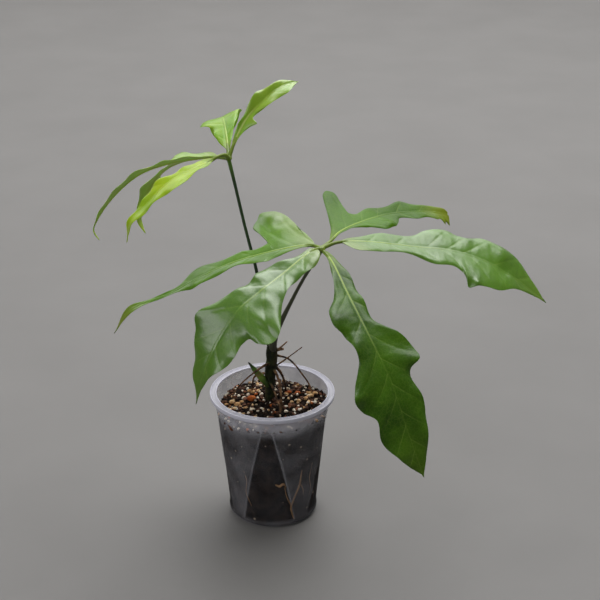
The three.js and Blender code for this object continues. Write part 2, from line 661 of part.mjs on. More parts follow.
const stemSolid = stem();
const stemCutter = stem(GAP);
const leafOne = leaf(LEAF_1);
const leafTwo = leaf(LEAF_2);
const petioleOne = petiole(PETIOLE_1, LEAF_1.knuckle, stemCutter);
const petioleTwo = petiole(PETIOLE_2, LEAF_2.knuckle, stemCutter);

const group = new THREE.Group();
group.add(
  toMesh(pot(), 'nursery_pot', POT_LOOK),
  toMesh(pottingMix([stemCutter]), 'potting_mix', MIX_LOOK),
  toMesh(stemSolid, 'stem_with_aerial_roots', STEM_LOOK),
  toMesh(grown(SHOOT).subtract(stemCutter), 'new_shoot', SHOOT_LOOK),
  toMesh(petioleOne, 'petiole_older_leaf', PETIOLE_LOOK),
  toMesh(leafOne, 'blade_older_leaf', OLD_LEAF_LOOK),
  toMesh(petioleTwo, 'petiole_young_leaf', PETIOLE_LOOK),
  toMesh(leafTwo, 'blade_young_leaf', YOUNG_LEAF_LOOK),
);

export default group;
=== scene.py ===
# Potted anthurium clavigerum: a young plant with two palmate leaves in a clear nursery pot.
# Sizes are in millimetres and angles in degrees until a mesh is made; -Y is the plant's front, +Z is up.
import math

import bpy
import numpy as np
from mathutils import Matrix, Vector, noise


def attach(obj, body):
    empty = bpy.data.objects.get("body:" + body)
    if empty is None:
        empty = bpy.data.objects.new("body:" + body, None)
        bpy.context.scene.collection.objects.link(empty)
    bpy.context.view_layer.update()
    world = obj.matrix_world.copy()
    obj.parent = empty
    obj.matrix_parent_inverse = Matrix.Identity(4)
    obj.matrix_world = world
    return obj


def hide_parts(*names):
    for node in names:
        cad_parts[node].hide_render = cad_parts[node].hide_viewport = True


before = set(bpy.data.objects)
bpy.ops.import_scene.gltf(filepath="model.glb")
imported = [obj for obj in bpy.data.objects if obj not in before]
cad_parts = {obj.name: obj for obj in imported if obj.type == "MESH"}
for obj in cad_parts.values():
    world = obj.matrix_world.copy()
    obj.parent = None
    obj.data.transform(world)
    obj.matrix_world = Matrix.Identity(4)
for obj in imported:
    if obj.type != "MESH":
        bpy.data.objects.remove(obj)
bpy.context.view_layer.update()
MM = 0.001


# Studio
# A long lens about a metre off looks down on the pot, as a person standing before it would.
# The floor is plain and pale, and soft boxes above, behind and to the left light the plant evenly.

CAMERA_PLACE = (20, -956, 606)
CAMERA_PITCH = 24.6
LENS = 90
SENSOR = 36
FLOOR_REACH = 5000
FLOOR_DROP = 0.3


def linear(hex_code):
    """An sRGB hex colour as the linear colour that a socket holds"""
    channels = [int(hex_code[start:start + 2], 16) / 255 for start in (1, 3, 5)]
    return [c / 12.92 if c <= 0.04045 else ((c + 0.055) / 1.055) ** 2.4 for c in channels] + [1.0]


def pattern_scale(size):
    """The texture scale at which a pattern's cells are this many millimetres across"""
    return 1 / (size * MM)


def add_node(tree, kind, inputs=None, **settings):
    """A node with its settings; each input takes a value, a socket, or a node for its first live output"""
    node = tree.nodes.new(kind)
    for name, value in settings.items():
        setattr(node, name, value)
    for name, value in (inputs or {}).items():
        socket = node.inputs[name] if isinstance(name, int) else next(
            live for live in node.inputs if live.name == name and live.enabled)
        if isinstance(value, bpy.types.Node):
            value = next(live for live in value.outputs if live.enabled)
        if isinstance(value, bpy.types.NodeSocket):
            tree.links.new(value, socket)
        else:
            socket.default_value = value
    return node


def new_material(name):
    """A material, its empty node tree, and the place on the piece that its patterns follow"""
    material = bpy.data.materials.new(name)
    material.use_nodes = True
    tree = material.node_tree
    tree.nodes.clear()
    return material, tree, add_node(tree, "ShaderNodeTexCoord").outputs["Object"]


def mesh_piece(name, points, faces, material):
    """A smooth mesh object at the origin, from points in millimetres"""
    mesh = bpy.data.meshes.new(name)
    mesh.from_pydata((np.asarray(points) * MM).tolist(), [], faces)
    mesh.materials.append(material)
    mesh.shade_smooth()
    piece = bpy.data.objects.new(name, mesh)
    bpy.context.scene.collection.objects.link(piece)
    return piece


camera_data = bpy.data.cameras.new("camera")
camera_data.lens = LENS
camera_data.sensor_width = SENSOR
camera = bpy.data.objects.new("camera", camera_data)
camera.location = [length * MM for length in CAMERA_PLACE]
camera.rotation_euler = (math.radians(90 - CAMERA_PITCH), 0, 0)
bpy.context.scene.collection.objects.link(camera)
bpy.context.scene.camera = camera
bpy.context.scene.view_settings.view_transform = "Standard"

# Honed screed: matt and pale grey, with a soft mottling that only shows as an uneven tone
screed, tree, place = new_material("honed_screed")
mottle = add_node(tree, "ShaderNodeTexNoise", {"Vector": place, "Scale": pattern_scale(111), "Detail": 6})
tone = add_node(tree, "ShaderNodeMix", {"Factor": mottle, "A": linear("#767472"), "B": linear("#82807e")},
                data_type="RGBA")
surface = add_node(tree, "ShaderNodeBsdfPrincipled", {"Base Color": tone, "Roughness": 0.7})
add_node(tree, "ShaderNodeOutputMaterial", {"Surface": surface})

corners = [(x * FLOOR_REACH, y * FLOOR_REACH, -FLOOR_DROP) for x, y in ((-1, -1), (1, -1), (1, 1), (-1, 1))]
floor = mesh_piece("studio_floor", corners, [(0, 1, 2, 3)], screed)


def soft_box(name, place, aim, size, power):
    """A rectangular soft light that faces a point"""
    light = bpy.data.lights.new(name, "AREA")
    light.shape = "RECTANGLE"
    light.size, light.size_y = size[0] * MM, size[1] * MM
    light.energy = power
    box = bpy.data.objects.new(name, light)
    box.location = [length * MM for length in place]
    towards = Vector(aim) - Vector(place)
    box.rotation_euler = towards.to_track_quat("-Z", "Y").to_euler()
    bpy.context.scene.collection.objects.link(box)


soft_box("overhead_box", place=(490, 880, 2140), aim=(0, 0, 150), size=(2000, 1500), power=46)
soft_box("back_box", place=(-160, 2030, 1450), aim=(20, 0, 180), size=(3800, 1700), power=34)
soft_box("left_box", place=(-1120, -1360, 1470), aim=(20, 0, 180), size=(1500, 1200), power=16)

WALL_COLOUR = "#f4f4f6"
WALL_GLOW = 0.13
world = bpy.data.worlds.new("studio_walls")
world.use_nodes = True
backdrop = world.node_tree.nodes["Background"].inputs
backdrop["Color"].default_value = linear(WALL_COLOUR)
backdrop["Strength"].default_value = WALL_GLOW
bpy.context.scene.world = world


# Nursery pot
# A thin clear cup, injection moulded in polypropylene, with a flat overhanging rim that ends in a lip.
# Four tapering panels are pressed into the wall to stiffen it, and the floor has six drain holes.

POT_HEIGHT = 96.6
RIM_RADIUS = 45.0
RIM_INNER_RADIUS = 40.0
RIM_THICKNESS = 1.2
RIM_LIP = 0.95
RIM_DROP = 2.9
BASE_RADIUS = 32.5
TOP_RADIUS = 41.8
WALL = 0.5
INNER_WALL_DROP = 1.4
POT_FLOOR = 0.8
# Radius of a ring of points amid the flat floor
FLOOR_RING = 12
FOOT_ROUNDING = 3.0
PANELS = 4
PANEL_TURN = -5.0
PANEL_RECESS = 0.7
PANEL_FOOT = 4.5
PANEL_HEAD = 86.0
PANEL_FOOT_EASE = 2.0
PANEL_HEAD_EASE = 3.0
PANEL_FOOT_HALF_ANGLE = 36.0
PANEL_HEAD_HALF_ANGLE = 6.0
PANEL_BEVEL = 3.0
DRAIN_HOLES = 6
DRAIN_RADIUS = 2.6
DRAIN_CIRCLE = 20.0
DRAIN_SIDES = 32
DRILL_FOOT = -1
DRILL_HEAD = 3
POT_COLUMNS = 360
WALL_ROWS = 72


def wall_radius(height):
    return BASE_RADIUS + (TOP_RADIUS - BASE_RADIUS) * height / POT_HEIGHT


def ring_faces(rings, columns):
    """Faces of a closed form built up of rings, with its bottom and top poles after the rings' points"""
    faces = []
    for row in range(rings - 1):
        for column in range(columns):
            a, b = row * columns + column, row * columns + (column + 1) % columns
            faces.append((a, b, b + columns, a + columns))
    pole = rings * columns
    last = pole - columns
    for column in range(columns):
        after = (column + 1) % columns
        faces.append((pole, after, column))
        faces.append((pole + 1, last + column, last + after))
    return faces


def lathe(profile, columns):
    """Points and faces of a closed turned form; the profile of radius and height runs from axis to axis"""
    angles = np.arange(columns) * 2 * math.pi / columns
    rings = [np.column_stack([radius * np.cos(angles), radius * np.sin(angles), np.full(columns, height)])
             for radius, height in profile[1:-1]]
    poles = [(0, 0, profile[0][1]), (0, 0, profile[-1][1])]
    return np.concatenate([*rings, poles]), ring_faces(len(rings), columns)


def finished(piece, name):
    """The piece's evaluated result as a plain mesh with no modifiers, under its own name"""
    result = bpy.data.meshes.new_from_object(piece.evaluated_get(bpy.context.evaluated_depsgraph_get()))
    bpy.data.objects.remove(piece)
    solid = bpy.data.objects.new(name, result)
    bpy.context.scene.collection.objects.link(solid)
    return solid


def run_nodes(piece, tree, inputs, name):
    """Runs a geometry tree on a piece, with its inputs set by name, and keeps the result as a plain mesh"""
    modifier = piece.modifiers.new(tree.name, "NODES")
    modifier.node_group = tree
    for label, value in inputs.items():
        modifier[tree.interface.items_tree[label].identifier] = value
    return finished(piece, name)


def geometry_tree(name, inputs):
    """A geometry tree with geometry in and out and a named input for each size, and what it is given"""
    tree = bpy.data.node_groups.new(name, "GeometryNodeTree")
    tree.interface.new_socket("Geometry", in_out="OUTPUT", socket_type="NodeSocketGeometry")
    tree.interface.new_socket("Shape", in_out="INPUT", socket_type="NodeSocketGeometry")
    for label, kind in inputs.items():
        tree.interface.new_socket(label, in_out="INPUT", socket_type="NodeSocket" + kind)
    return tree, add_node(tree, "NodeGroupInput").outputs


def finish_tree(tree, geometry, given):
    """Ends a geometry tree: makes instances real, gives them the material, and hands out the result"""
    real = add_node(tree, "GeometryNodeRealizeInstances", {"Geometry": geometry})
    painted = add_node(tree, "GeometryNodeSetMaterial", {"Geometry": real, "Material": given["Material"]})
    add_node(tree, "NodeGroupOutput", {"Geometry": painted})


# Panels are pressed towards the axis. Each is as wide as its half angle on both sides of its middle line
# and eases in at its foot, head and sides. How far a point is pressed in, and how near it is to the
# middle of a bent side, is kept for the haze of the plastic and for the highlight painted along the
# bent sides.
press_panels, given = geometry_tree("press_panels", {
    "Panels": "Float", "Turn": "Float", "Recess": "Float", "Foot": "Float", "Head": "Float",
    "Foot Half Angle": "Float", "Head Half Angle": "Float", "Bevel": "Float", "Material": "Material"})
tree = press_panels
place = add_node(tree, "GeometryNodeInputPosition")
parts = add_node(tree, "ShaderNodeSeparateXYZ", {"Vector": place}).outputs
turn = add_node(tree, "ShaderNodeMath", {0: parts["Y"], 1: parts["X"]}, operation="ARCTAN2")
turn = add_node(tree, "ShaderNodeMath", {0: turn, 1: given["Turn"]}, operation="SUBTRACT")
half_pitch = add_node(tree, "ShaderNodeMath", {0: math.pi, 1: given["Panels"]}, operation="DIVIDE")
low_end = add_node(tree, "ShaderNodeMath", {0: half_pitch, 1: -1.0}, operation="MULTIPLY")
turn = add_node(tree, "ShaderNodeMath", {0: turn, 1: half_pitch, 2: low_end}, operation="WRAP")
turn = add_node(tree, "ShaderNodeMath", {0: turn}, operation="ABSOLUTE")
half = add_node(tree, "ShaderNodeMapRange", {
    "Value": parts["Z"], "From Min": given["Foot"], "From Max": given["Head"],
    "To Min": given["Foot Half Angle"], "To Max": given["Head Half Angle"]})
inner = add_node(tree, "ShaderNodeMath", {0: half, 1: given["Bevel"]}, operation="SUBTRACT")
side = add_node(tree, "ShaderNodeMapRange", {"Value": turn, "From Min": half, "From Max": inner},
                interpolation_type="SMOOTHSTEP")
inside = side
for end, ease in (("Foot", PANEL_FOOT_EASE * MM), ("Head", -PANEL_HEAD_EASE * MM)):
    full = add_node(tree, "ShaderNodeMath", {0: given[end], 1: ease})
    reached = add_node(tree, "ShaderNodeMapRange", {"Value": parts["Z"], "From Min": given[end],
                                                    "From Max": full}, interpolation_type="SMOOTHSTEP")
    inside = add_node(tree, "ShaderNodeMath", {0: inside, 1: reached}, operation="MULTIPLY")
depth = add_node(tree, "ShaderNodeMath", {0: inside, 1: given["Recess"]}, operation="MULTIPLY")
inward = add_node(tree, "ShaderNodeVectorMath", {0: place, 1: (-1, -1, 0)}, operation="MULTIPLY")
inward = add_node(tree, "ShaderNodeVectorMath", {0: inward}, operation="NORMALIZE")
shift = add_node(tree, "ShaderNodeVectorMath", {0: inward, "Scale": depth}, operation="SCALE")
moved = add_node(tree, "GeometryNodeSetPosition", {"Geometry": given["Shape"], "Offset": shift})
# The bend is 1 halfway down a panel's side and 0 where the wall is flat
flat = add_node(tree, "ShaderNodeMath", {0: 1.0, 1: side}, operation="SUBTRACT")
bend = add_node(tree, "ShaderNodeMath", {0: inside, 1: flat}, operation="MULTIPLY")
bend = add_node(tree, "ShaderNodeMath", {0: bend, 1: 4.0}, operation="MULTIPLY")
for label, value in (("pressed", inside), ("bend", bend)):
    moved = add_node(tree, "GeometryNodeStoreNamedAttribute", {
        "Geometry": moved, "Name": label, "Value": value})
finish_tree(tree, moved, given)

# Natural polypropylene straight from the mould: clear with a faint milky haze and a satin gloss. The haze
# thins out where a panel lies on the mix. On the panel's bent sides the wall is made whiter, as a painted
# highlight along the panel edges. The haze is thickest near the top, where moisture from the mix settles
# on the wall.
DAMP_FROM = 76
DAMP_FULL = 88
polypropylene, tree, place = new_material("moulded_clear_polypropylene")
height = add_node(tree, "ShaderNodeSeparateXYZ", {"Vector": place}).outputs["Z"]
cloud = add_node(tree, "ShaderNodeTexNoise", {"Vector": place, "Scale": pattern_scale(14.3), "Detail": 4})
haze_and_highlight = add_node(tree, "ShaderNodeMapRange", {"Value": cloud, "From Min": 0.3, "From Max": 0.7,
                                             "To Min": 0.035, "To Max": 0.11})
pressed = add_node(tree, "ShaderNodeAttribute", attribute_name="pressed").outputs["Fac"]
clear = add_node(tree, "ShaderNodeMapRange", {"Value": pressed, "To Min": 1.0, "To Max": 0.25})
haze_and_highlight = add_node(tree, "ShaderNodeMath", {0: haze_and_highlight, 1: clear}, operation="MULTIPLY")
# The bent sides are whitened here: a painted highlight along the panel edges
bend = add_node(tree, "ShaderNodeAttribute", attribute_name="bend").outputs["Fac"]
haze_and_highlight = add_node(tree, "ShaderNodeMath", {0: bend, 1: 0.13, 2: haze_and_highlight}, operation="MULTIPLY_ADD")
damp = add_node(tree, "ShaderNodeMapRange", {
    "Value": height, "From Min": DAMP_FROM * MM, "From Max": DAMP_FULL * MM},
    interpolation_type="SMOOTHSTEP")
damp = add_node(tree, "ShaderNodeMath", {0: damp, 1: cloud}, operation="MULTIPLY")
haze_and_highlight = add_node(tree, "ShaderNodeMath", {0: damp, 1: 0.6, 2: haze_and_highlight}, operation="MULTIPLY_ADD")
surface = add_node(tree, "ShaderNodeBsdfPrincipled", {
    "Base Color": linear("#dedde6"), "Roughness": 0.14, "IOR": 1.49, "Specular IOR Level": 1.0,
    "Alpha": haze_and_highlight})
add_node(tree, "ShaderNodeOutputMaterial", {"Surface": surface})

# The same plastic where it is thick, as in the rim: milkier, with a lilac hue, and most of all along the
# rim's outer and inner edges, which are seen through their whole depth. The paler bands at these edges are
# also a painted highlight, standing for the bright lines that light makes along the rim's edges.
OUTER_EDGE = 0.9
INNER_EDGE = 1.0
EDGE_FADE = 0.6
milky_rim, tree, place = new_material("milky_polypropylene_rim")
level = add_node(tree, "ShaderNodeVectorMath", {0: place, 1: (1, 1, 0)}, operation="MULTIPLY")
radius = add_node(tree, "ShaderNodeVectorMath", {0: level}, operation="LENGTH").outputs["Value"]
bands = [add_node(tree, "ShaderNodeMapRange", {
    "Value": radius, "From Min": start * MM, "From Max": full * MM})
         for start, full in ((RIM_RADIUS - OUTER_EDGE, RIM_RADIUS - OUTER_EDGE + EDGE_FADE),
                             (RIM_INNER_RADIUS + INNER_EDGE, RIM_INNER_RADIUS + INNER_EDGE - EDGE_FADE))]
# Paler at the outer and inner edges: partly the thicker look through the rim's depth, partly a painted
# highlight
edge = add_node(tree, "ShaderNodeMath", {0: bands[0], 1: bands[1]}, operation="MAXIMUM")
haze_and_highlight = add_node(tree, "ShaderNodeMapRange", {"Value": edge, "To Min": 0.4, "To Max": 0.85})
surface = add_node(tree, "ShaderNodeBsdfPrincipled", {
    "Base Color": linear("#d9d8e6"), "Roughness": 0.4, "IOR": 1.49, "Specular IOR Level": 0.7,
    "Alpha": haze_and_highlight})
add_node(tree, "ShaderNodeOutputMaterial", {"Surface": surface})

under_rim = POT_HEIGHT - RIM_THICKNESS
lip_foot = POT_HEIGHT - RIM_DROP
lip_inside = RIM_RADIUS - RIM_LIP
base_inside = BASE_RADIUS - WALL
outer_wall = [(wall_radius(height), height) for height in np.linspace(PANEL_FOOT, under_rim, WALL_ROWS)]
inner_wall = [(wall_radius(height) - WALL, height)
              for height in np.linspace(POT_HEIGHT - INNER_WALL_DROP, PANEL_FOOT, WALL_ROWS)]
# The outline of the cup as radius and height; steps of a few tenths round its corners
pot_profile = [
    # Underside and rounded foot
    (0, 0), (FLOOR_RING, 0), (BASE_RADIUS - FOOT_ROUNDING, 0), (BASE_RADIUS - 1.5, 0.2),
    (BASE_RADIUS - 0.5, 0.9), (BASE_RADIUS, 1.9), (wall_radius(FOOT_ROUNDING), FOOT_ROUNDING),
    # Up the wall and out under the rim
    *outer_wall, (lip_inside - 0.3, under_rim), (lip_inside, POT_HEIGHT - 1.5),
    # Lip
    (lip_inside, lip_foot + 0.2), (RIM_RADIUS - 0.75, lip_foot), (RIM_RADIUS - 0.2, lip_foot),
    (RIM_RADIUS, lip_foot + 0.2),
    # Top of the rim
    (RIM_RADIUS, POT_HEIGHT - 0.5), (RIM_RADIUS - 0.15, POT_HEIGHT - 0.15), (RIM_RADIUS - 0.5, POT_HEIGHT),
    (RIM_INNER_RADIUS + 0.6, POT_HEIGHT), (RIM_INNER_RADIUS + 0.15, POT_HEIGHT - 0.2),
    (RIM_INNER_RADIUS, POT_HEIGHT - 0.7),
    # Down the inside to the floor
    *inner_wall, (wall_radius(2.5) - WALL, 2.6), (base_inside - 0.7, 1.4), (base_inside - 1.8, POT_FLOOR),
    (FLOOR_RING, POT_FLOOR), (0, POT_FLOOR),
]
pot = mesh_piece("moulded_cup", *lathe(pot_profile, POT_COLUMNS), polypropylene)

drill_points = []
drill_faces = []
for hole in range(DRAIN_HOLES):
    turn = 2 * math.pi * (hole + 0.5) / DRAIN_HOLES
    bit, sides = lathe([(0, DRILL_FOOT), (DRAIN_RADIUS, DRILL_FOOT), (DRAIN_RADIUS, DRILL_HEAD),
                        (0, DRILL_HEAD)], DRAIN_SIDES)
    drill_faces += [tuple(corner + hole * len(bit) for corner in side) for side in sides]
    drill_points.append(bit + [DRAIN_CIRCLE * math.cos(turn), DRAIN_CIRCLE * math.sin(turn), 0])
drills = mesh_piece("drain_drills", np.concatenate(drill_points), drill_faces, polypropylene)
cut = pot.modifiers.new("drain_holes", "BOOLEAN")
cut.object = drills
cut.solver = "MANIFOLD"
panel_sizes = {
    "Panels": float(PANELS), "Turn": math.radians(PANEL_TURN - 90), "Recess": PANEL_RECESS * MM,
    "Foot": PANEL_FOOT * MM, "Head": PANEL_HEAD * MM, "Bevel": math.radians(PANEL_BEVEL),
    "Foot Half Angle": math.radians(PANEL_FOOT_HALF_ANGLE),
    "Head Half Angle": math.radians(PANEL_HEAD_HALF_ANGLE)}
pot = run_nodes(pot, press_panels, {**panel_sizes, "Material": polypropylene}, "clear_nursery_pot")
bpy.data.objects.remove(drills)
pot.data.materials.append(milky_rim)
RIM_SLACK = 0.3
for side in pot.data.polygons:
    radius = side.center.to_2d().length / MM
    if radius > RIM_INNER_RADIUS - RIM_SLACK and side.center.z / MM > lip_foot - RIM_SLACK:
        side.material_index = 1
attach(pot, "root")
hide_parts("nursery_pot")


# Potting mix
# Peat, composted bark and coarse perlite, filled by hand to just under the rim and heaped to the stem.
# It settles lower against the wall, where its grains press on the clear plastic and show through.

MIX_LEVEL = 86.5
MIX_MOUND = 4.5
MIX_MOUND_Y = 10.0
MIX_MOUND_WIDTH = 15.0
MIX_FALL = 0.002
MIX_GAP = 0.1
MIX_BOTTOM = POT_FLOOR + 0.2
MIX_FOOT = 3
CRUMBLE_SIZE = 2.6
CRUMBLE_HEIGHT = 0.9
MIX_COLUMNS = 240
MIX_SIDE_ROWS = 60
MIX_TOP_RINGS = 60
# Where the surface has sunk at the wall: direction, half width in degrees, and depth. A hollow is at its
# full depth this far from the axis, and rises steeply inwards.
HOLLOWS = [(-134, 16, 4.5), (-28, 12, 4.5), (168, 32, 6.0), (60, 25, 2.0), (-95, 50, 2.5)]
HOLLOW_REACH = 40
HOLLOW_STEEPNESS = 6


def mix_height(x, y):
    """Height of the mix's surface: heaped at the stem, with lumps 5 to 12 mm long and sunken edges"""
    mound = np.exp(-(x ** 2 + (y - MIX_MOUND_Y) ** 2) / (2 * MIX_MOUND_WIDTH ** 2))
    lumps = (0.8 * np.sin(0.61 * x + 1.3) * np.cos(0.53 * y + 0.4)
             + 0.5 * np.sin(1.07 * x - 0.71 * y) + 0.35 * np.cos(1.31 * y + 0.83 * x))
    level = MIX_LEVEL + MIX_MOUND * mound - MIX_FALL * np.maximum(y, 0) ** 2 + lumps
    for direction, half_width, depth in HOLLOWS:
        away = (np.degrees(np.arctan2(y, x)) - direction + 180) % 360 - 180
        inwards = (np.hypot(x, y) / HOLLOW_REACH) ** HOLLOW_STEEPNESS
        level = level - depth * np.exp(-(away / half_width) ** 2) * inwards
    return level


def mix_form():
    """The filling as a closed turned form whose top follows the heaped surface, and its first top point"""
    angles = np.arange(MIX_COLUMNS) * 2 * math.pi / MIX_COLUMNS
    ways = np.stack([np.cos(angles), np.sin(angles)], 1)
    foot = wall_radius(0) - WALL - MIX_GAP - FOOT_ROUNDING / 2
    rings = [np.column_stack([ways * radius, np.full(MIX_COLUMNS, MIX_BOTTOM)])
             for radius in (0.5 * foot, foot)]
    edge = wall_radius(MIX_LEVEL) - WALL - MIX_GAP
    level = mix_height(*(ways * edge).T)
    for share in np.linspace(0, 1, MIX_SIDE_ROWS):
        height = MIX_FOOT + (level - MIX_FOOT) * share
        rings.append(np.column_stack([ways * (wall_radius(height) - WALL - MIX_GAP)[:, None], height]))
    for share in np.linspace(1, 0, MIX_TOP_RINGS, endpoint=False)[1:]:
        x, y = (ways * edge * share).T
        rings.append(np.column_stack([x, y, mix_height(x, y)]))
    poles = [(0, 0, MIX_BOTTOM), (0, 0, mix_height(0.0, 0.0))]
    faces = ring_faces(len(rings), MIX_COLUMNS)
    return np.concatenate([*rings, poles]), faces, (1 + MIX_SIDE_ROWS) * MIX_COLUMNS


def fill_ramp(ramp, stops):
    """Lays the colours of a ramp, each stop given as its place from 0 to 1 and its hex code"""
    elements = ramp.color_ramp.elements
    while len(elements) < len(stops):
        elements.new(0.5)
    for element, (position, colour) in zip(elements, stops):
        element.position = position
        element.color = linear(colour)


# Peat and fine composted bark: matt, nearly black where moist, with brown crumbs of a millimetre or two
# and pale specks where perlite dust and grit touch the surface.
peat, tree, place = new_material("moist_peat_and_bark")
clumps = add_node(tree, "ShaderNodeTexNoise", {"Vector": place, "Scale": pattern_scale(5.56), "Detail": 5})
crumbs = add_node(tree, "ShaderNodeTexVoronoi", {"Vector": place, "Scale": pattern_scale(1.54)})
tone = add_node(tree, "ShaderNodeValToRGB", {"Fac": clumps})
fill_ramp(tone, [(0.38, "#0e0b09"), (0.68, "#2a201a")])
grit = add_node(tree, "ShaderNodeTexVoronoi", {"Vector": place, "Scale": pattern_scale(4.167)})
speck = add_node(tree, "ShaderNodeMapRange", {"Value": grit, "From Min": 0.26, "From Max": 0.16})
pick = add_node(tree, "ShaderNodeSeparateColor", {"Color": grit.outputs["Color"]})
pick = add_node(tree, "ShaderNodeMath", {0: pick, 1: 0.88}, operation="GREATER_THAN")
speck = add_node(tree, "ShaderNodeMath", {0: speck, 1: pick}, operation="MULTIPLY")
tone = add_node(tree, "ShaderNodeMix", {"Factor": speck, "A": tone, "B": linear("#958775")},
                data_type="RGBA")
rough = add_node(tree, "ShaderNodeMath", {0: clumps, 1: crumbs}, operation="SUBTRACT")
relief = add_node(tree, "ShaderNodeBump", {"Height": rough, "Strength": 0.35, "Distance": 0.4 * MM})
surface = add_node(tree, "ShaderNodeBsdfPrincipled", {
    "Base Color": tone, "Roughness": 0.95, "Specular IOR Level": 0.1, "Normal": relief})
add_node(tree, "ShaderNodeOutputMaterial", {"Surface": surface})

# The bed is the smooth top without its pole, which the grains are strewn on before the mix crumbles
mix_points, mix_faces, first_top_point = mix_form()
pole = len(mix_points) - 2
bed_points = mix_points[first_top_point:pole].copy()
bed_faces = [tuple(corner - first_top_point for corner in face) for face in mix_faces
             if min(face) >= first_top_point and max(face) < pole]
crumble = [noise.fractal(Vector(point) / CRUMBLE_SIZE, 0.6, 2.2, 4) for point in bed_points]
mix_points[first_top_point:pole, 2] += CRUMBLE_HEIGHT * np.array(crumble)
# The filling follows the wall, so the panels press it in as well
mix = mesh_piece("filling", mix_points, mix_faces, peat)
mix = run_nodes(mix, press_panels, {**panel_sizes, "Material": peat}, "potting_mix_body")
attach(mix, "root")
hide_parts("potting_mix")


# Grains of the mix
# Loose crumbs of peat, chips of bark, popped perlite, pumice and a few pieces of fired clay.
# They lie scattered and half sunk in the surface, and no two have quite the same shape.

# A grain is a ball, squashed, stretched and tilted at random and then made uneven. Most are strewn over
# the bed, and the rest lie where the bed holds a point with a grain size of its own.
scatter_grains, given = geometry_tree("scatter_grains", {
    "Density": "Float", "Smallest": "Float", "Largest": "Float", "Flatness": "Float", "Lift": "Float",
    "Uneven": "Float", "Uneven Scale": "Float", "Rounds": "Int", "Seed": "Int", "Smooth": "Bool",
    "Material": "Material"})
tree = scatter_grains
strewn = add_node(tree, "GeometryNodeDistributePointsOnFaces", {
    "Mesh": given["Shape"], "Density": given["Density"], "Seed": given["Seed"]})
own_size = add_node(tree, "GeometryNodeInputNamedAttribute", {"Name": "grain_size"})
placed = add_node(tree, "ShaderNodeMath", {0: own_size, 1: 0.0}, operation="GREATER_THAN")
by_hand = add_node(tree, "GeometryNodeMeshToPoints", {"Mesh": given["Shape"], "Selection": placed})
spots = add_node(tree, "GeometryNodeJoinGeometry", {"Geometry": strewn})
tree.links.new(by_hand.outputs[0], spots.inputs[0])
drawn = add_node(tree, "FunctionNodeRandomValue", {
    "Min": given["Smallest"], "Max": given["Largest"], "Seed": given["Seed"]})
size = add_node(tree, "GeometryNodeSwitch", {"Switch": placed, "False": drawn, "True": own_size},
                input_type="FLOAT")
ball = add_node(tree, "GeometryNodeMeshIcoSphere", {"Radius": 0.5, "Subdivisions": given["Rounds"]})
squash = add_node(tree, "ShaderNodeCombineXYZ", {"X": 1.0, "Y": 0.8, "Z": given["Flatness"]})
stretch = add_node(tree, "FunctionNodeRandomValue", {"Min": (0.75, 0.75, 0.85), "Max": (1.25, 1.25, 1.1),
                                                     "Seed": 3}, data_type="FLOAT_VECTOR")
shape = add_node(tree, "ShaderNodeVectorMath", {0: squash, 1: stretch}, operation="MULTIPLY")
scale = add_node(tree, "ShaderNodeVectorMath", {0: shape, "Scale": size}, operation="SCALE")
tilt = add_node(tree, "FunctionNodeRandomValue", {"Min": (-0.6, -0.6, 0), "Max": (0.6, 0.6, 2 * math.pi),
                                                  "Seed": 5}, data_type="FLOAT_VECTOR")
laid = add_node(tree, "GeometryNodeInstanceOnPoints", {
    "Points": spots, "Instance": ball, "Scale": scale, "Rotation": tilt})
rise = add_node(tree, "ShaderNodeMath", {0: size, 1: given["Lift"]}, operation="MULTIPLY")
rise = add_node(tree, "ShaderNodeCombineXYZ", {"Z": rise})
lifted = add_node(tree, "GeometryNodeTranslateInstances", {
    "Instances": laid, "Translation": rise, "Local Space": False})
real = add_node(tree, "GeometryNodeRealizeInstances", {"Geometry": lifted})
place = add_node(tree, "GeometryNodeInputPosition")
wobble = add_node(tree, "ShaderNodeTexNoise", {"Vector": place, "Scale": given["Uneven Scale"]})
wobble = add_node(tree, "ShaderNodeVectorMath", {0: wobble.outputs["Color"], 1: (0.5, 0.5, 0.5)},
                  operation="SUBTRACT")
wobble = add_node(tree, "ShaderNodeVectorMath", {0: wobble, "Scale": given["Uneven"]}, operation="SCALE")
uneven = add_node(tree, "GeometryNodeSetPosition", {"Geometry": real, "Offset": wobble})
smooth = add_node(tree, "GeometryNodeSetShadeSmooth", {"Geometry": uneven, "Shade Smooth": given["Smooth"]})
finish_tree(tree, smooth, given)


def grain_material(name, colours, roughness, pore, depth):
    """A stony or woody surface, whose shade drifts from dark to light from one grain to the next"""
    material, tree, place = new_material(name)
    broad, fine = (add_node(tree, "ShaderNodeTexNoise", {
        "Vector": place, "Scale": pattern_scale(size), "Detail": detail})
                   for size, detail in ((4.76, 2), (pore, 4)))
    mixed = add_node(tree, "ShaderNodeMix", {"Factor": 0.35, "A": broad, "B": fine})
    tone = add_node(tree, "ShaderNodeValToRGB", {"Fac": mixed})
    fill_ramp(tone, list(zip((0.36, 0.5, 0.64), colours)))
    relief = add_node(tree, "ShaderNodeBump", {"Height": fine, "Strength": 0.7, "Distance": depth * MM})
    surface = add_node(tree, "ShaderNodeBsdfPrincipled", {
        "Base Color": tone, "Roughness": roughness, "Specular IOR Level": 0.3, "Normal": relief})
    add_node(tree, "ShaderNodeOutputMaterial", {"Surface": surface})
    return material


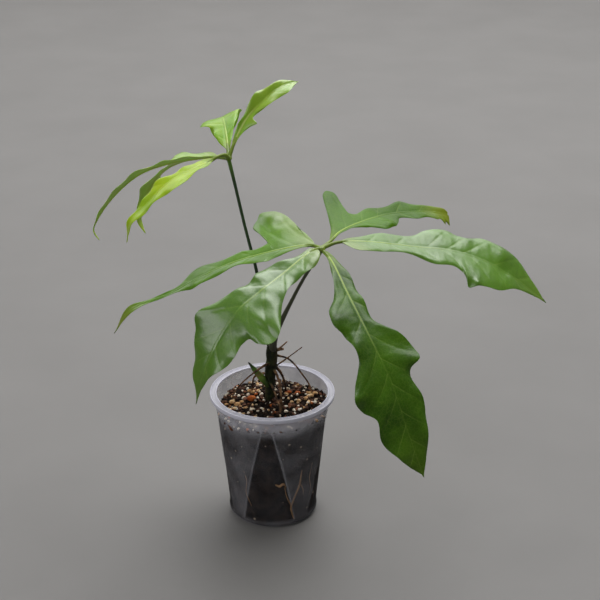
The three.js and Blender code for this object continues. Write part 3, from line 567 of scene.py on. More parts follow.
def strew(name, by_hand, material, per_cm2, sizes, flatness, lift, uneven, lumps, seed, smooth):
    """A layer of grains on the mix: some placed one by one as x, y and size, the rest strewn by the tree"""
    spots = [(x, y, mix_height(float(x), float(y))) for x, y, _ in by_hand]
    points = np.concatenate([bed_points, np.array(spots).reshape(-1, 3)])
    bed = mesh_piece("bed", points, bed_faces, material)
    own_size = [0.0] * len(bed_points) + [size * MM for _, _, size in by_hand]
    bed.data.attributes.new("grain_size", "FLOAT", "POINT").data.foreach_set("value", own_size)
    layer = run_nodes(bed, scatter_grains, {
        "Density": per_cm2 * 1e4, "Smallest": sizes[0] * MM, "Largest": sizes[1] * MM,
        "Flatness": flatness, "Lift": lift, "Uneven": uneven * MM, "Uneven Scale": pattern_scale(lumps),
        "Rounds": 2 if smooth else 1, "Seed": seed, "Smooth": smooth, "Material": material}, name)
    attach(layer, "root")


# Crumbled peat: dull black-brown, fibrous
strew("peat_crumbs", [],
      grain_material("crumbled_peat", ["#0d0907", "#22170f", "#3d2a1c"], 0.95, pore=1.11, depth=0.5),
      per_cm2=26, sizes=(1.0, 2.6), flatness=0.8, lift=0.1, uneven=0.9, lumps=2.0, seed=11, smooth=False)
# Composted pine bark: flat brown flakes, redder where freshly broken
strew("bark_chips", [(-24, -2, 5), (33, 5, 6), (29, 12, 5), (-27, 8, 5), (18, 17, 6)],
      grain_material("composted_pine_bark", ["#24140c", "#4c2f1e", "#7b4c33"], 0.85, pore=1.43, depth=0.4),
      per_cm2=4.2, sizes=(2.2, 5.0), flatness=0.35, lift=0.15, uneven=1.6, lumps=3.03, seed=23,
      smooth=False)
# Perlite: volcanic glass popped by heat, chalk white to cream, pitted like popcorn. Its pits are drawn
# twice as wide as they are, because finer ones wouldn't show.
strew("perlite_grains",
      [(-20.5, 4, 2.9), (-14, -13, 4.2), (-28, -14, 2.8), (-23, -18, 3.0), (-12, -24, 3.0), (10, -10, 3.2),
       (10, -16, 3.0), (16, -12, 3.0), (27, -14, 3.4), (31, -2, 3.0), (-5, -26, 2.4), (11, 12, 3.2),
       (4, 26, 3.4), (-22, -27, 3.2), (-9, 20, 2.6), (22, -22, 2.8)],
      grain_material("popped_perlite", ["#b39a7c", "#e6d9c4", "#f6eedf"], 0.8, pore=0.667, depth=0.25),
      per_cm2=3.0, sizes=(1.3, 2.7), flatness=0.85, lift=0.28, uneven=0.8, lumps=1.923, seed=37,
      smooth=True)
# Pumice: buff and tan, a little coarser than the perlite
strew("pumice_grains",
      [(-29, -2, 4.6), (-25, -6, 4.8), (-31, -8, 3.6), (-14, 10, 4.4), (-17, 14, 3.4), (24, 3, 4.6),
       (28, 6, 4.2), (19, -2, 3.6), (-19, -10, 3.4), (14, -3, 3.2), (-33, -2, 3.6), (-27, -10, 4.0),
       (-22, -2, 3.4), (31, 11, 4.2), (26, 13, 3.8), (-30, -12, 3.2)],
      grain_material("buff_pumice", ["#9a6f47", "#d3a876", "#ecd2a6"], 0.85, pore=0.909, depth=0.3),
      per_cm2=0.9, sizes=(1.8, 3.4), flatness=0.75, lift=0.25, uneven=1.1, lumps=2.381, seed=41,
      smooth=True)
# Fired clay and broken bark hearts: orange to brick red
strew("fired_clay_grains", [(-15, 0, 6.6), (18.5, 10, 4.4), (12, 8, 3.8), (-12, 6, 3.0)],
      grain_material("fired_clay", ["#6e2d12", "#a9531f", "#cf7a3c"], 0.85, pore=1.11, depth=0.35),
      per_cm2=0.35, sizes=(1.6, 3.0), flatness=0.8, lift=0.25, uneven=1.2, lumps=2.778, seed=53,
      smooth=True)


# Stem with aerial roots
# A short upright stem, green when young and corky black-green now, ringed where old leaves broke off.
# Wiry brown roots leave it above the mix and dive in; broken stubs and a papery sheath stay at the top.

STEM = {"points": [(-2, 1, 62), (-2, 0, 88), (-1.6, 0, 102), (-1.2, 0, 113), (0.2, 0, 124),
                   (0.4, 0, 131.5)], "radii": [2.6, 3, 3.3, 3.7, 4.1, 3.4]}
ROOTS = [
    {"points": [(0, 0, 126), (5, 4, 122.5), (11, 7, 119), (17, 9, 112), (21, 11, 105), (26, 13, 96),
                (30, 15, 84)], "radii": [1.2, 0.7, 0.62, 0.6, 0.6]},
    {"points": [(0, 1, 117), (3.5, 4, 112.5), (6.8, 7, 106), (9, 9, 97), (10, 10, 84)],
     "radii": [1.4, 1.0, 0.85, 0.8]},
    {"points": [(-1, -1, 118.5), (-4.8, -7, 120.6), (-8.5, -8.6, 118.8), (-12, -8.3, 115.9),
                (-20.8, -4, 105.6), (-28.3, 3, 91.4), (-30, 6, 81)], "radii": [1.2, 0.62, 0.55, 0.52]},
    {"points": [(-2, 1, 110), (-8, 7, 106.5), (-13, 9, 103), (-14.6, 10, 95), (-15, 10, 84)],
     "radii": [1.2, 0.7, 0.6]},
    {"points": [(-1, 0, 117), (3, -5, 113), (5.5, -8, 106), (6.5, -11, 98), (6.6, -13, 90), (7, -15, 80)],
     "radii": [1.2, 0.9, 0.85, 0.85, 0.8]},
    {"points": [(-2, -1, 106), (0.5, -6, 102), (3.4, -12, 97), (5.8, -17, 91), (6.5, -20, 80)],
     "radii": [1.0, 0.7, 0.8, 0.8]},
]
STUBS = [
    {"points": [(0, 0, 128), (4.5, -1, 130), (8.5, -1, 130.6)], "radii": [1.5, 1.2, 0.8]},
    {"points": [(3.5, -1, 129.5), (7, -1, 132.5), (11, -1, 136.5)], "radii": [0.9, 0.65, 0.45]},
    {"points": [(0, 1, 114), (8, 2, 119.5), (21.5, 3, 130)], "radii": [0.8, 0.5, 0.4]},
    {"points": [(-1.4, -0.5, 122), (-2.6, -1, 128), (-2.9, -1.2, 132.6)], "radii": [2.6, 1.9, 0.7]},
]
PATH_STEPS = 24


def blend(t, low, high, before, after):
    """The straight blend at t from what holds at the low knot to what holds at the high one"""
    return ((high - t) * before + (t - low) * after) / (high - low)


def smooth_path(points):
    """A centripetal Catmull-Rom curve through the points, with PATH_STEPS steps to a span"""
    points = np.asarray(points, float)
    ends = np.vstack([2 * points[0] - points[1], points, 2 * points[-1] - points[-2]])
    spans = []
    for index in range(len(points) - 1):
        a, b, c, d = ends[index:index + 4]
        gaps = [max(np.linalg.norm(step) ** 0.5, 1e-6) for step in (b - a, c - b, d - c)]
        at_a, at_b, at_c, at_d = np.cumsum([0, *gaps])
        t = np.linspace(at_b, at_c, PATH_STEPS, endpoint=False)[:, None]
        ab, bc, cd = blend(t, at_a, at_b, a, b), blend(t, at_b, at_c, b, c), blend(t, at_c, at_d, c, d)
        abc, bcd = blend(t, at_a, at_c, ab, bc), blend(t, at_b, at_d, bc, cd)
        spans.append(blend(t, at_b, at_c, abc, bcd))
    return np.vstack([*spans, points[-1:]])


def lengths_along(path):
    return np.concatenate([[0], np.cumsum(np.linalg.norm(np.diff(path, axis=0), axis=1))])


def limb_curves(limbs):
    """A curve object with one line for each limb, and the limb's radius at each of its points"""
    data = bpy.data.curves.new("limb_paths", "CURVE")
    data.dimensions = "3D"
    for limb in limbs:
        path = smooth_path(limb["points"])
        share = lengths_along(path) / lengths_along(path)[-1]
        radii = np.interp(share * (len(limb["radii"]) - 1), range(len(limb["radii"])), limb["radii"])
        line = data.splines.new("POLY")
        line.points.add(len(path) - 1)
        line.points.foreach_set("co", np.column_stack([path * MM, np.ones(len(path))]).ravel())
        line.points.foreach_set("radius", radii * MM)
    piece = bpy.data.objects.new("limb_paths", data)
    bpy.context.scene.collection.objects.link(piece)
    return piece


# A limb is a ring carried along its line at the line's own radius, with capped ends and an uneven skin
limb_skin, given = geometry_tree("limb_skin", {
    "Step": "Float", "Sides": "Int", "Uneven": "Float", "Uneven Scale": "Float", "Material": "Material"})
tree = limb_skin
line = add_node(tree, "GeometryNodeResampleCurve", {"Curve": given["Shape"], "Length": given["Step"]},
                mode="LENGTH")
ring = add_node(tree, "GeometryNodeCurvePrimitiveCircle", {"Resolution": given["Sides"], "Radius": 1.0})
thickness = add_node(tree, "GeometryNodeInputRadius")
skin = add_node(tree, "GeometryNodeCurveToMesh", {
    "Curve": line, "Profile Curve": ring, "Scale": thickness, "Fill Caps": True})
place = add_node(tree, "GeometryNodeInputPosition")
bumps = add_node(tree, "ShaderNodeTexNoise", {"Vector": place, "Scale": given["Uneven Scale"], "Detail": 3})
bumps = add_node(tree, "ShaderNodeMath", {0: bumps, 1: 0.5}, operation="SUBTRACT")
bumps = add_node(tree, "ShaderNodeMath", {0: bumps, 1: given["Uneven"]}, operation="MULTIPLY")
outward = add_node(tree, "GeometryNodeInputNormal")
shift = add_node(tree, "ShaderNodeVectorMath", {0: outward, "Scale": bumps}, operation="SCALE")
rough = add_node(tree, "GeometryNodeSetPosition", {"Geometry": skin, "Offset": shift})
smooth = add_node(tree, "GeometryNodeSetShadeSmooth", {"Geometry": rough, "Shade Smooth": True})
finish_tree(tree, smooth, given)


def grow_together(limbs, material, voxel, name):
    """Melts the limbs of a piece into one skin, and rounds the joints between them"""
    melt = limbs.modifiers.new("melt", "REMESH")
    melt.mode = "VOXEL"
    melt.voxel_size = voxel * MM
    melt.use_smooth_shade = True
    soften = limbs.modifiers.new("soften", "SMOOTH")
    soften.factor = 0.5
    soften.iterations = 2
    piece = finished(limbs, name)
    piece.data.materials.clear()
    piece.data.materials.append(material)
    return piece


# Corky stem skin: dull black-green, mottled like bark; away from the stem's axis it turns to the wiry
# brown of the roots.
STEM_COLOURS = [(0.4, "#0d1306"), (0.7, "#343a18")]
ROOT_COLOURS = [(0.38, "#281912"), (0.66, "#947050")]
STEM_REACH = 4
ROOTS_FROM = 7
corky_skin, tree, place = new_material("corky_stem_skin")
on_axis = add_node(tree, "ShaderNodeMapping", {"Vector": place, "Location": (0.8 * MM, 0, 0),
                                               "Scale": (1, 1, 0)})
from_axis = add_node(tree, "ShaderNodeVectorMath", {0: on_axis}, operation="LENGTH").outputs["Value"]
is_root = add_node(tree, "ShaderNodeMapRange", {
    "Value": from_axis, "From Min": STEM_REACH * MM, "From Max": ROOTS_FROM * MM})
patches = add_node(tree, "ShaderNodeTexNoise", {"Vector": place, "Scale": pattern_scale(3.85), "Detail": 4})
bark, wire = (add_node(tree, "ShaderNodeValToRGB", {"Fac": patches}) for _ in range(2))
fill_ramp(bark, STEM_COLOURS)
fill_ramp(wire, ROOT_COLOURS)
tone = add_node(tree, "ShaderNodeMix", {"Factor": is_root, "A": bark, "B": wire}, data_type="RGBA")
grain = add_node(tree, "ShaderNodeTexNoise", {"Vector": place, "Scale": pattern_scale(0.909), "Detail": 3})
relief = add_node(tree, "ShaderNodeBump", {"Height": grain, "Strength": 0.6, "Distance": 0.3 * MM})
surface = add_node(tree, "ShaderNodeBsdfPrincipled", {
    "Base Color": tone, "Roughness": 0.7, "Specular IOR Level": 0.25, "Normal": relief})
add_node(tree, "ShaderNodeOutputMaterial", {"Surface": surface})

STEM_VOXEL = 0.26
stem = run_nodes(limb_curves([STEM, *ROOTS, *STUBS]), limb_skin, {
    "Step": 0.5 * MM, "Sides": 20, "Uneven": 0.55 * MM, "Uneven Scale": pattern_scale(3.0303),
    "Material": corky_skin}, "stem_limbs")
stem = grow_together(stem, corky_skin, STEM_VOXEL, "stem_and_roots")
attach(stem, "root")
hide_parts("stem_with_aerial_roots")

# Feeding roots that have run down between the mix and the wall: way round the pot in degrees and height
WALL_ROOTS = [
    {"route": [(-54, 48), (-55, 42), (-56, 36), (-63, 24), (-66, 17), (-64, 11), (-61, 6)],
     "radii": [0.5, 0.9, 0.8, 0.7, 0.45]},
    {"route": [(-56, 37), (-51, 31), (-49, 24)], "radii": [0.6, 0.5, 0.3]},
    {"route": [(-66, 19), (-72, 27), (-75, 36)], "radii": [0.5, 0.4, 0.3]},
    {"route": [(-86, 39), (-81, 37.5), (-77, 39), (-73, 36)], "radii": [0.4, 1.0, 0.9, 0.3]},
    {"route": [(-38, 50), (-41, 38), (-37, 27), (-42, 16)], "radii": [0.3, 0.45, 0.4, 0.3]},
    {"route": [(-126, 52), (-121, 40), (-123, 28), (-117, 18)], "radii": [0.3, 0.4, 0.4, 0.25]},
]
ROOT_SINK = 0.3


def against_wall(direction, height):
    """A place on the outside of the mix, half sunk in it"""
    turn = math.radians(direction)
    reach = wall_radius(height) - WALL - MIX_GAP - ROOT_SINK
    return reach * math.cos(turn), reach * math.sin(turn), height


# Young root skin: pale tan cork, browner where it has dried
root_skin, tree, place = new_material("young_root_skin")
patches = add_node(tree, "ShaderNodeTexNoise", {"Vector": place, "Scale": pattern_scale(4.17), "Detail": 3})
tone = add_node(tree, "ShaderNodeMix", {"Factor": patches, "A": linear("#4a3524"), "B": linear("#b08c6a")},
                data_type="RGBA")
surface = add_node(tree, "ShaderNodeBsdfPrincipled", {
    "Base Color": tone, "Roughness": 0.8, "Specular IOR Level": 0.2})
add_node(tree, "ShaderNodeOutputMaterial", {"Surface": surface})

routes = [{"points": [against_wall(*stop) for stop in root["route"]], "radii": root["radii"]}
          for root in WALL_ROOTS]
wall_roots = run_nodes(limb_curves(routes), limb_skin, {
    "Step": 0.7 * MM, "Sides": 10, "Uneven": 0.4 * MM, "Uneven Scale": pattern_scale(2.5),
    "Material": root_skin}, "roots_at_the_wall")
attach(wall_roots, "root")


# New shoot
# A spear-shaped sheath that pushes out low on the stem and hides the next leaf inside it.
# It is waxy green, brown where its rim has dried, and ends in a dark point.

SHOOT = {"points": [(-3, -2, 101.5), (-6.6, -3.2, 107.5), (-11, -4, 113.5), (-16.6, -4.4, 121.5)],
         "radii": [1.8, 2.5, 2.0, 0.45]}
SHOOT_LENGTH = 26
SHOOT_COLOURS = [(0.0, "#171b0c"), (0.3, "#3d5a18"), (0.5, "#6f8a2c"), (0.58, "#7d6a35"), (0.7, "#557a26"),
                 (0.88, "#2f4a17"), (0.97, "#14180c")]
BORDER_RAGGED = 4

# Waxy sheath: the colours run from the foot to the point, and their borders are ragged
sheath_skin, tree, place = new_material("waxy_shoot_sheath")
away = add_node(tree, "ShaderNodeVectorMath", {0: place, 1: [length * MM for length in SHOOT["points"][0]]},
                operation="DISTANCE").outputs["Value"]
ragged = add_node(tree, "ShaderNodeTexNoise", {"Vector": place, "Scale": pattern_scale(2.38), "Detail": 3})
away = add_node(tree, "ShaderNodeMath", {0: ragged, 1: BORDER_RAGGED * MM, 2: away},
                operation="MULTIPLY_ADD")
share = add_node(tree, "ShaderNodeMapRange", {"Value": away, "From Max": SHOOT_LENGTH * MM})
tone = add_node(tree, "ShaderNodeValToRGB", {"Fac": share})
fill_ramp(tone, SHOOT_COLOURS)
surface = add_node(tree, "ShaderNodeBsdfPrincipled", {"Base Color": tone, "Roughness": 0.42})
add_node(tree, "ShaderNodeOutputMaterial", {"Surface": surface})

shoot = run_nodes(limb_curves([SHOOT]), limb_skin, {
    "Step": 0.4 * MM, "Sides": 32, "Uneven": 0.3 * MM, "Uneven Scale": pattern_scale(6.25),
    "Material": sheath_skin}, "new_shoot_sheath")
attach(shoot, "root")
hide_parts("new_shoot")


# Petioles
# Round leaf stalks, firm and smooth, that stand on the stem and end in the knuckle of their leaf.
# Each is swollen at its foot, where it sheathed the next one, and thins out above.

KNUCKLE_1 = (34.4, -31, 219.9)
KNUCKLE_2 = (-29.2, 22, 265.4)
PETIOLE_1 = {"points": [(0.6, -0.6, 130), (0.8, -1.6, 134.2), (2.4, -3.2, 142.8), (8, -8, 158),
                        (13, -13, 171), (20, -19, 188.3), (25.6, -24, 201), (31.5, -28.6, 213),
                        KNUCKLE_1], "radii": [3.0, 2.5, 1.8, 1.4, 1.2, 1.15, 1.25, 1.6]}
PETIOLE_2 = {"points": [(-1.2, 1.6, 128), (-1.6, 2.2, 131), (-4.4, 5.2, 148), (-7.4, 8.6, 167),
                        (-11, 12.3, 187.3), (-14.2, 14.4, 200), (-19, 16.8, 219.8), (-25.6, 20, 250),
                        KNUCKLE_2], "radii": [2.1, 1.6, 1.35, 1.15, 1.1, 1.08, 1.1, 1.4]}


# Petiole skin is a firm, smooth rind with a satin sheen: brown-green at the foot, fresher at the knuckle,
# with fine flecks drawn out lengthwise.
def stalk_material(name, foot_colour, body_colour, head_colour, foot, head):
    """A petiole's skin, whose colour runs by height from its foot to its head"""
    material, tree, place = new_material(name)
    height = add_node(tree, "ShaderNodeSeparateXYZ", {"Vector": place}).outputs["Z"]
    share = add_node(tree, "ShaderNodeMapRange", {
        "Value": height, "From Min": foot * MM, "From Max": head * MM})
    tone = add_node(tree, "ShaderNodeValToRGB", {"Fac": share})
    fill_ramp(tone, [(0.0, foot_colour), (0.12, body_colour), (0.9, body_colour), (1.0, head_colour)])
    drawn_out = add_node(tree, "ShaderNodeMapping", {"Vector": place, "Scale": (1, 1, 0.15)})
    fleck = add_node(tree, "ShaderNodeTexNoise", {
        "Vector": drawn_out, "Scale": pattern_scale(1.11), "Detail": 3})
    shade = add_node(tree, "ShaderNodeMapRange", {"Value": fleck, "To Min": 0.7, "To Max": 1.35})
    tone = add_node(tree, "ShaderNodeMix", {"Factor": 1.0, "A": tone, "B": shade}, data_type="RGBA",
                    blend_type="MULTIPLY")
    surface = add_node(tree, "ShaderNodeBsdfPrincipled", {"Base Color": tone, "Roughness": 0.38})
    add_node(tree, "ShaderNodeOutputMaterial", {"Surface": surface})
    return material


older_stalk = stalk_material("older_petiole_skin", "#2a2815", "#3b3f24", "#566a24", foot=130, head=218)
young_stalk = stalk_material("young_petiole_skin", "#2b3018", "#2e4526", "#557a26", foot=130, head=263)
for path, skin, name, node in ((PETIOLE_1, older_stalk, "older_petiole", "petiole_older_leaf"),
                               (PETIOLE_2, young_stalk, "young_petiole", "petiole_young_leaf")):
    petiole = run_nodes(limb_curves([path]), limb_skin, {
        "Step": 0.6 * MM, "Sides": 24, "Uneven": 0.12 * MM, "Uneven Scale": pattern_scale(11.11),
        "Material": skin}, name)
    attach(petiole, "root")
    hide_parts(node)


# Leaf blades
# Each leaf is a fan of five leaflets that grow from one knuckle, every one a thin waved blade on a
# midrib. The skin is quilted between the side veins, waxy on top and paler and duller underneath.

# The rows of points slant forward as the side veins do: the foot of a row lies behind its end by this
# share of its reach, and creeps on a little where the margin turns back.
VEIN_REACH = 0.55
FOOT_CREEP = 0.03
# The left margin's waves are out of step with the right one's by this angle in radians
WAVE_SHIFT = 1.9
BLADE_THICKNESS = 0.45
# The midrib stands out below as a keel, which thins out towards the tip
KEEL_DEPTH = 0.9
KEEL_AT_TIP = 0.1
KEEL_WIDTH = 0.9
TIP_THICKNESS = 0.3
ROW_STEP = 0.9
COLUMNS = 24
MARGIN_ROLL = 0.9
ROLL_WIDTH = 0.3
ROLL_FULL_WIDTH = 12
ROLL_PACE = 9
# A side vein leaves the midrib at this slope, and bends outwards by this much
VEIN_LEAN = 1.2
VEIN_BEND = 0.012
QUILT_WIDTH = 11.0
# How far the first and last gaps between side veins reach past the blade's two ends
FIRST_GAP = 25
LAST_GAP = 12
SPOT_PITCH = 1000

# A leaflet's midrib is given by points, each with a roll about it in degrees. Its left and right margins
# and its hills are given by the length along the midrib and the distance to the left of it, and a hill
# has a width and a height as well. "veins" are the feet of the side veins on the left and on the right.
# "fold" lifts both halves by an angle, "droop" bends them down again, and "wave" is the height of the
# margin's "waves". The green value runs from the leaf's deep green to its fresh one; it is partly the
# leaflet's own green and partly painted light and shade, set per leaflet for how brightly it is lit.
# "waxy" is the strength of the shine, and "ripe" is how yellow the tip has turned.
LEAFLETS_1 = {
    "middle": {
        "rib": [(34, -30, 220, 0), (40, -40, 217, 0), (52, -70, 203, -4), (66, -96, 183, -4),
                (78, -112, 162, 0), (87, -125, 138, 4), (99, -136, 106, 0)],
        "left": [(3, 1.5), (18, 5), (29, 7), (54, 8), (68, 9), (75, 14), (82, 21), (95, 27), (104, 26),
                 (108, 18), (112, 16), (129, 18), (145, 15), (161, 9), (175, 0)],
        "right": [(3, -1.5), (18, -3), (39, -8), (48, -12), (57, -20), (67, -22), (74, -17), (91, -15),
                  (98, -19), (107, -26), (117, -31), (125, -26), (132, -19), (144, -20), (160, -12),
                  (175, 0)],
        "veins": [[10, 28, 50, 77, 95, 113, 131, 150], [22, 44, 66, 90, 106, 122, 141, 158]],
        "hills": [(104, 31, 7, 3.0), (116, -30, 6, 2.0), (156, -15, 5, 1.2), (60, -20, 7, 1.2),
                  (88, 12, 7, -0.6), (130, 16, 5, -0.8)],
        "fold": 8, "droop": 0.004, "wave": 1.4, "waves": 7,
        "green_and_painted_light": 0.25, "waxy": 0.45, "ripe": 0.1},
    "right_front": {
        "rib": [(34, -30, 220, 0), (44, -24, 222, 8), (61, -12, 218, 15), (99, 5, 207, 24),
                (131, 14, 199, 32), (161, 18, 185, 36), (197, 22, 156, 30)],
        "left": [(17, 1.2), (26, 4), (37, 6), (55, 11), (78, 11), (88, 16), (106, 20), (117, 16), (127, 21),
                 (140, 22), (158, 20), (175, 11), (188, 0)],
        "right": [(16, -1.2), (17, -8), (21, -13), (46, -11), (71, -9), (89, -16), (105, -15), (113, -19),
                  (119, -28), (131, -25), (147, -20), (159, -11), (175, -4), (188, 0)],
        "veins": [[40, 62, 86, 101, 114, 139, 160], [36, 56, 78, 96, 118, 136, 158]],
        "hills": [(118, -29, 4, -3.0), (125, -25, 3, 1.4), (110, 18, 5, -1.6), (125, 19, 5, -1.6),
                  (146, 12, 6, 1.2), (149, 1, 5, -0.8), (95, 14, 8, 1.0)],
        "fold": 6, "droop": 0.003, "wave": 0.5, "waves": 5,
        "green_and_painted_light": 0.9, "waxy": 1.2, "ripe": 0.2},
    "right_back": {
        "rib": [(34, -30, 220, 0), (40, -20, 221, 0), (47, -5, 222, 5), (62, 18, 220, 12),
                (86, 45, 216, 20), (115, 66, 209, 28), (128.5, 74.5, 203.6, 48)],
        "left": [(14, 1.2), (27, 6), (39, 15), (49, 25), (61, 39), (66, 41), (68, 36), (63, 24), (59, 14),
                 (63, 10), (77, 11), (94, 9), (109, 13), (119, 8), (134, 6), (143, 4.5), (146, 2),
                 (147, 0)],
        "right": [(14, -1.2), (30, -2), (49, -5), (59, -11), (67, -16), (78, -16), (88, -11), (95, -6),
                  (109, -9), (122, -6), (131, -8), (136, -6.5), (140, -10), (142, -7),
                  (145, -9.5), (146.5, -4), (147, 0)],
        "veins": [[38, 58, 76, 96, 118], [30, 53, 72, 98, 120]],
        "hills": [(62, 33, 6, 1.0), (74, -14, 5, 2.4)],
        "fold": 4, "droop": 0, "wave": 0.5, "waves": 6,
        "green_and_painted_light": 0.45, "waxy": 0.2, "ripe": 0.8},
    "left_back": {
        "rib": [(34, -30, 220, 0), (29, -24, 220, 0), (20, -20, 218, -10), (0, -16, 212, -16),
                (-26, -14, 203, -17), (-49, -14, 192, -17), (-69, -16, 181, -25), (-97, -20, 170, -36),
                (-109, -20, 152, -36)],
        "left": [(8, 1.5), (21, 6), (35, 10), (42, 13), (50, 10), (61, 7), (76, 8), (90, 11), (97, 11),
                 (106, 5), (116, 2.2), (130, 1.8), (142, 3.2), (153, 2.4), (165, 0)],
        "right": [(8, -1.5), (15, -12), (24, -25), (33, -43), (42, -51), (48.5, -51), (50.5, -44),
                  (53.5, -37), (46, -22), (43, -12), (49, -8), (61, -11), (73, -8), (90, -14), (98, -9.5),
                  (109, -4), (122, -2), (134, -2), (144, -3.2), (154, -2.6), (165, 0)],
        "veins": [[28, 50, 66, 84, 106, 130], [6, 20, 52, 76, 98, 120, 142]],
        "hills": [(30, -26, 6, 0.9), (41, -42, 5, 1.0), (36, -31, 3.5, -0.9), (24, -12, 6, -0.5),
                  (60, -12, 6, 1.0), (95, 10, 8, 1.0)],
        "fold": 4, "droop": 0, "wave": 0.6, "waves": 7,
        "green_and_painted_light": 0.85, "waxy": 0.9, "ripe": 0.9},
    "left_front": {
        "rib": [(34, -30, 220, 0), (28, -38, 222, -5), (10, -56, 214, -15), (-5, -72, 208, -20),
                (-20, -86, 200, -22), (-34, -98, 182, -15), (-43, -105, 160, 0), (-47, -108, 144, 0)],
        "left": [(6, 1.5), (11, 8), (20, 12), (36, 11), (46, 12), (58, 17), (66, 24), (75, 31.5), (84, 33),
                 (90, 31), (93.5, 25), (93.5, 18), (99, 16), (109, 17), (121, 12), (131, 5), (146, 0)],
        "right": [(6, -1.5), (25, -5), (37, -10), (48, -13), (58, -11), (72, -12), (84, -16), (98, -22),
                  (106, -18), (118, -13), (131, -9), (146, 0)],
        "veins": [[18, 38, 57, 72, 90, 108, 124], [16, 34, 54, 77, 96, 114]],
        "hills": [(57, 2, 4, 0.9), (64, 7, 4, 1.2), (77, 17, 5, 1.0), (99, -24, 8, 2.0),
                  (115, -15, 7, -1.2), (88, 40, 9, 5.0), (30, -12, 7, 1.0)],
        "fold": 6, "droop": 0.004, "wave": 1.4, "waves": 7,
        "green_and_painted_light": 0.65, "waxy": 1.3, "ripe": 0.1},
}
LEAFLETS_2 = {
    "upper_right": {
        "rib": [(-29, 22, 265.6, 0), (-27, 26, 271, 0), (-24, 32, 277, 10), (-17, 40, 288, 20),
                (-6, 48, 298, 25), (6, 58, 305, 15), (19, 66, 307, 0)],
        "left": [(10, 1), (23, 3), (32, 3), (41, 6), (49, 8), (59, 5), (70, 5), (80, 0)],
        "right": [(10, -1), (20, -3), (27, -6), (32, -9), (34, -4), (46, -5), (59, -7), (68, -8), (76, -3),
                  (80, 0)],
        "veins": [[18, 34, 52, 66], [22, 40, 58]],
        "hills": [(40, 5, 4, 0.8), (58, 5, 4, 0.8)],
        "fold": 18, "droop": 0, "wave": 0.8, "waves": 4,
        "green_and_painted_light": 0.4, "waxy": 1.3, "ripe": 0.0},
    "back": {
        "rib": [(-29, 22, 265.6, 0), (-30, 32, 270, -8), (-32, 48, 276, -20), (-34, 62, 279, -24),
                (-36, 76, 278, -20), (-37, 90, 270, -10), (-38, 100, 256, 0)],
        "left": [(9, 1.2), (16, 5), (26, 8), (38, 9), (44, 12), (51, 17), (57, 17), (66, 12), (80, 9),
                 (92, 5), (100, 0)],
        "right": [(9, -1.2), (25, -5), (45, -11), (58, -15), (64, -15), (76, -12), (90, -7), (100, 0)],
        "veins": [[18, 37, 56, 74], [26, 46, 62, 80]],
        "hills": [(30, 8, 5, 0.6)],
        "fold": 4, "droop": 0, "wave": 0.8, "waves": 5,
        "green_and_painted_light": 0.25, "waxy": 0.5, "ripe": 0.3},
    "left_long": {
        "rib": [(-29, 22, 265.6, 0), (-37, 27, 265, 5), (-53, 34, 261, 10), (-75, 42, 254, 10),
                (-95, 47, 244, 8), (-114, 50, 226, 0), (-126, 50, 209, 0), (-129, 49, 201, 0),
                (-125, 47, 194, 0)],
        "left": [(10, 1.2), (20, 6), (40, 8), (56, 6), (76, 8), (95, 7), (108, 6), (118, 3), (139, 0)],
        "right": [(10, -1.2), (16, -6), (24, -10), (34, -11), (46, -18), (50, -17), (50, -8), (54, -5),
                  (74, -6), (90, -5), (112, -4), (125, -3), (139, 0)],
        "veins": [[14, 36, 58, 80, 102], [14, 30, 56, 78, 100]],
        "hills": [],
        "fold": 20, "droop": 0, "wave": 0.7, "waves": 6,
        "green_and_painted_light": 0.5, "waxy": 1.0, "ripe": 0.4},
    "left_drooping": {
        "rib": [(-29, 22, 265.6, 0), (-39, 35, 262, 0), (-58, 53, 254, 0), (-77, 68, 241, 0),
                (-89, 78, 224, 0), (-98, 82, 204, 0), (-100, 82, 195, 0), (-95, 80, 186, 0)],
        "left": [(14, 1.2), (30, 4), (50, 6), (66, 5), (78, 3), (86, 7), (94, 10), (102, 8), (112, 5),
                 (124, 2), (137, 0)],
        "right": [(14, -1.2), (30, -4), (50, -6), (66, -3), (76, -2), (84, -4), (93, -9), (105, -11),
                  (115, -9), (123, -5), (130, -3), (137, 0)],
        "veins": [[26, 48, 68, 82, 104], [26, 48, 70, 92, 110]],
        "hills": [],
        "fold": 12, "droop": 0, "wave": 0.6, "waves": 6,
        "green_and_painted_light": 0.5, "waxy": 1.0, "ripe": 0.4},
    "front": {
        "rib": [(-29, 22, 265.6, 0), (-33, 16, 270.5, 0), (-41, 10, 268, 0), (-54, 0, 265, -5),
                (-70, -10, 258, -8), (-84, -16, 245, 0), (-94, -20, 235, 0), (-97, -20, 220, 0)],
        "left": [(17, 1.2), (24, 6), (34, 8), (46, 12), (55, 14), (63, 9), (78, 8), (86, 8), (96, 4),
                 (106, 0)],
        "right": [(16, -1.2), (24, -5), (47, -6), (61, -9), (78, -5), (92, -3), (106, 0)],
        "veins": [[22, 40, 58, 76], [20, 38, 55, 76]],
        "hills": [(50, 6, 5, 0.8)],
        "fold": 10, "droop": 0, "wave": 0.9, "waves": 5,
        "green_and_painted_light": 0.7, "waxy": 0.5, "ripe": 0.2},
}


def unit(vectors):
    return vectors / np.linalg.norm(vectors, axis=-1, keepdims=True)


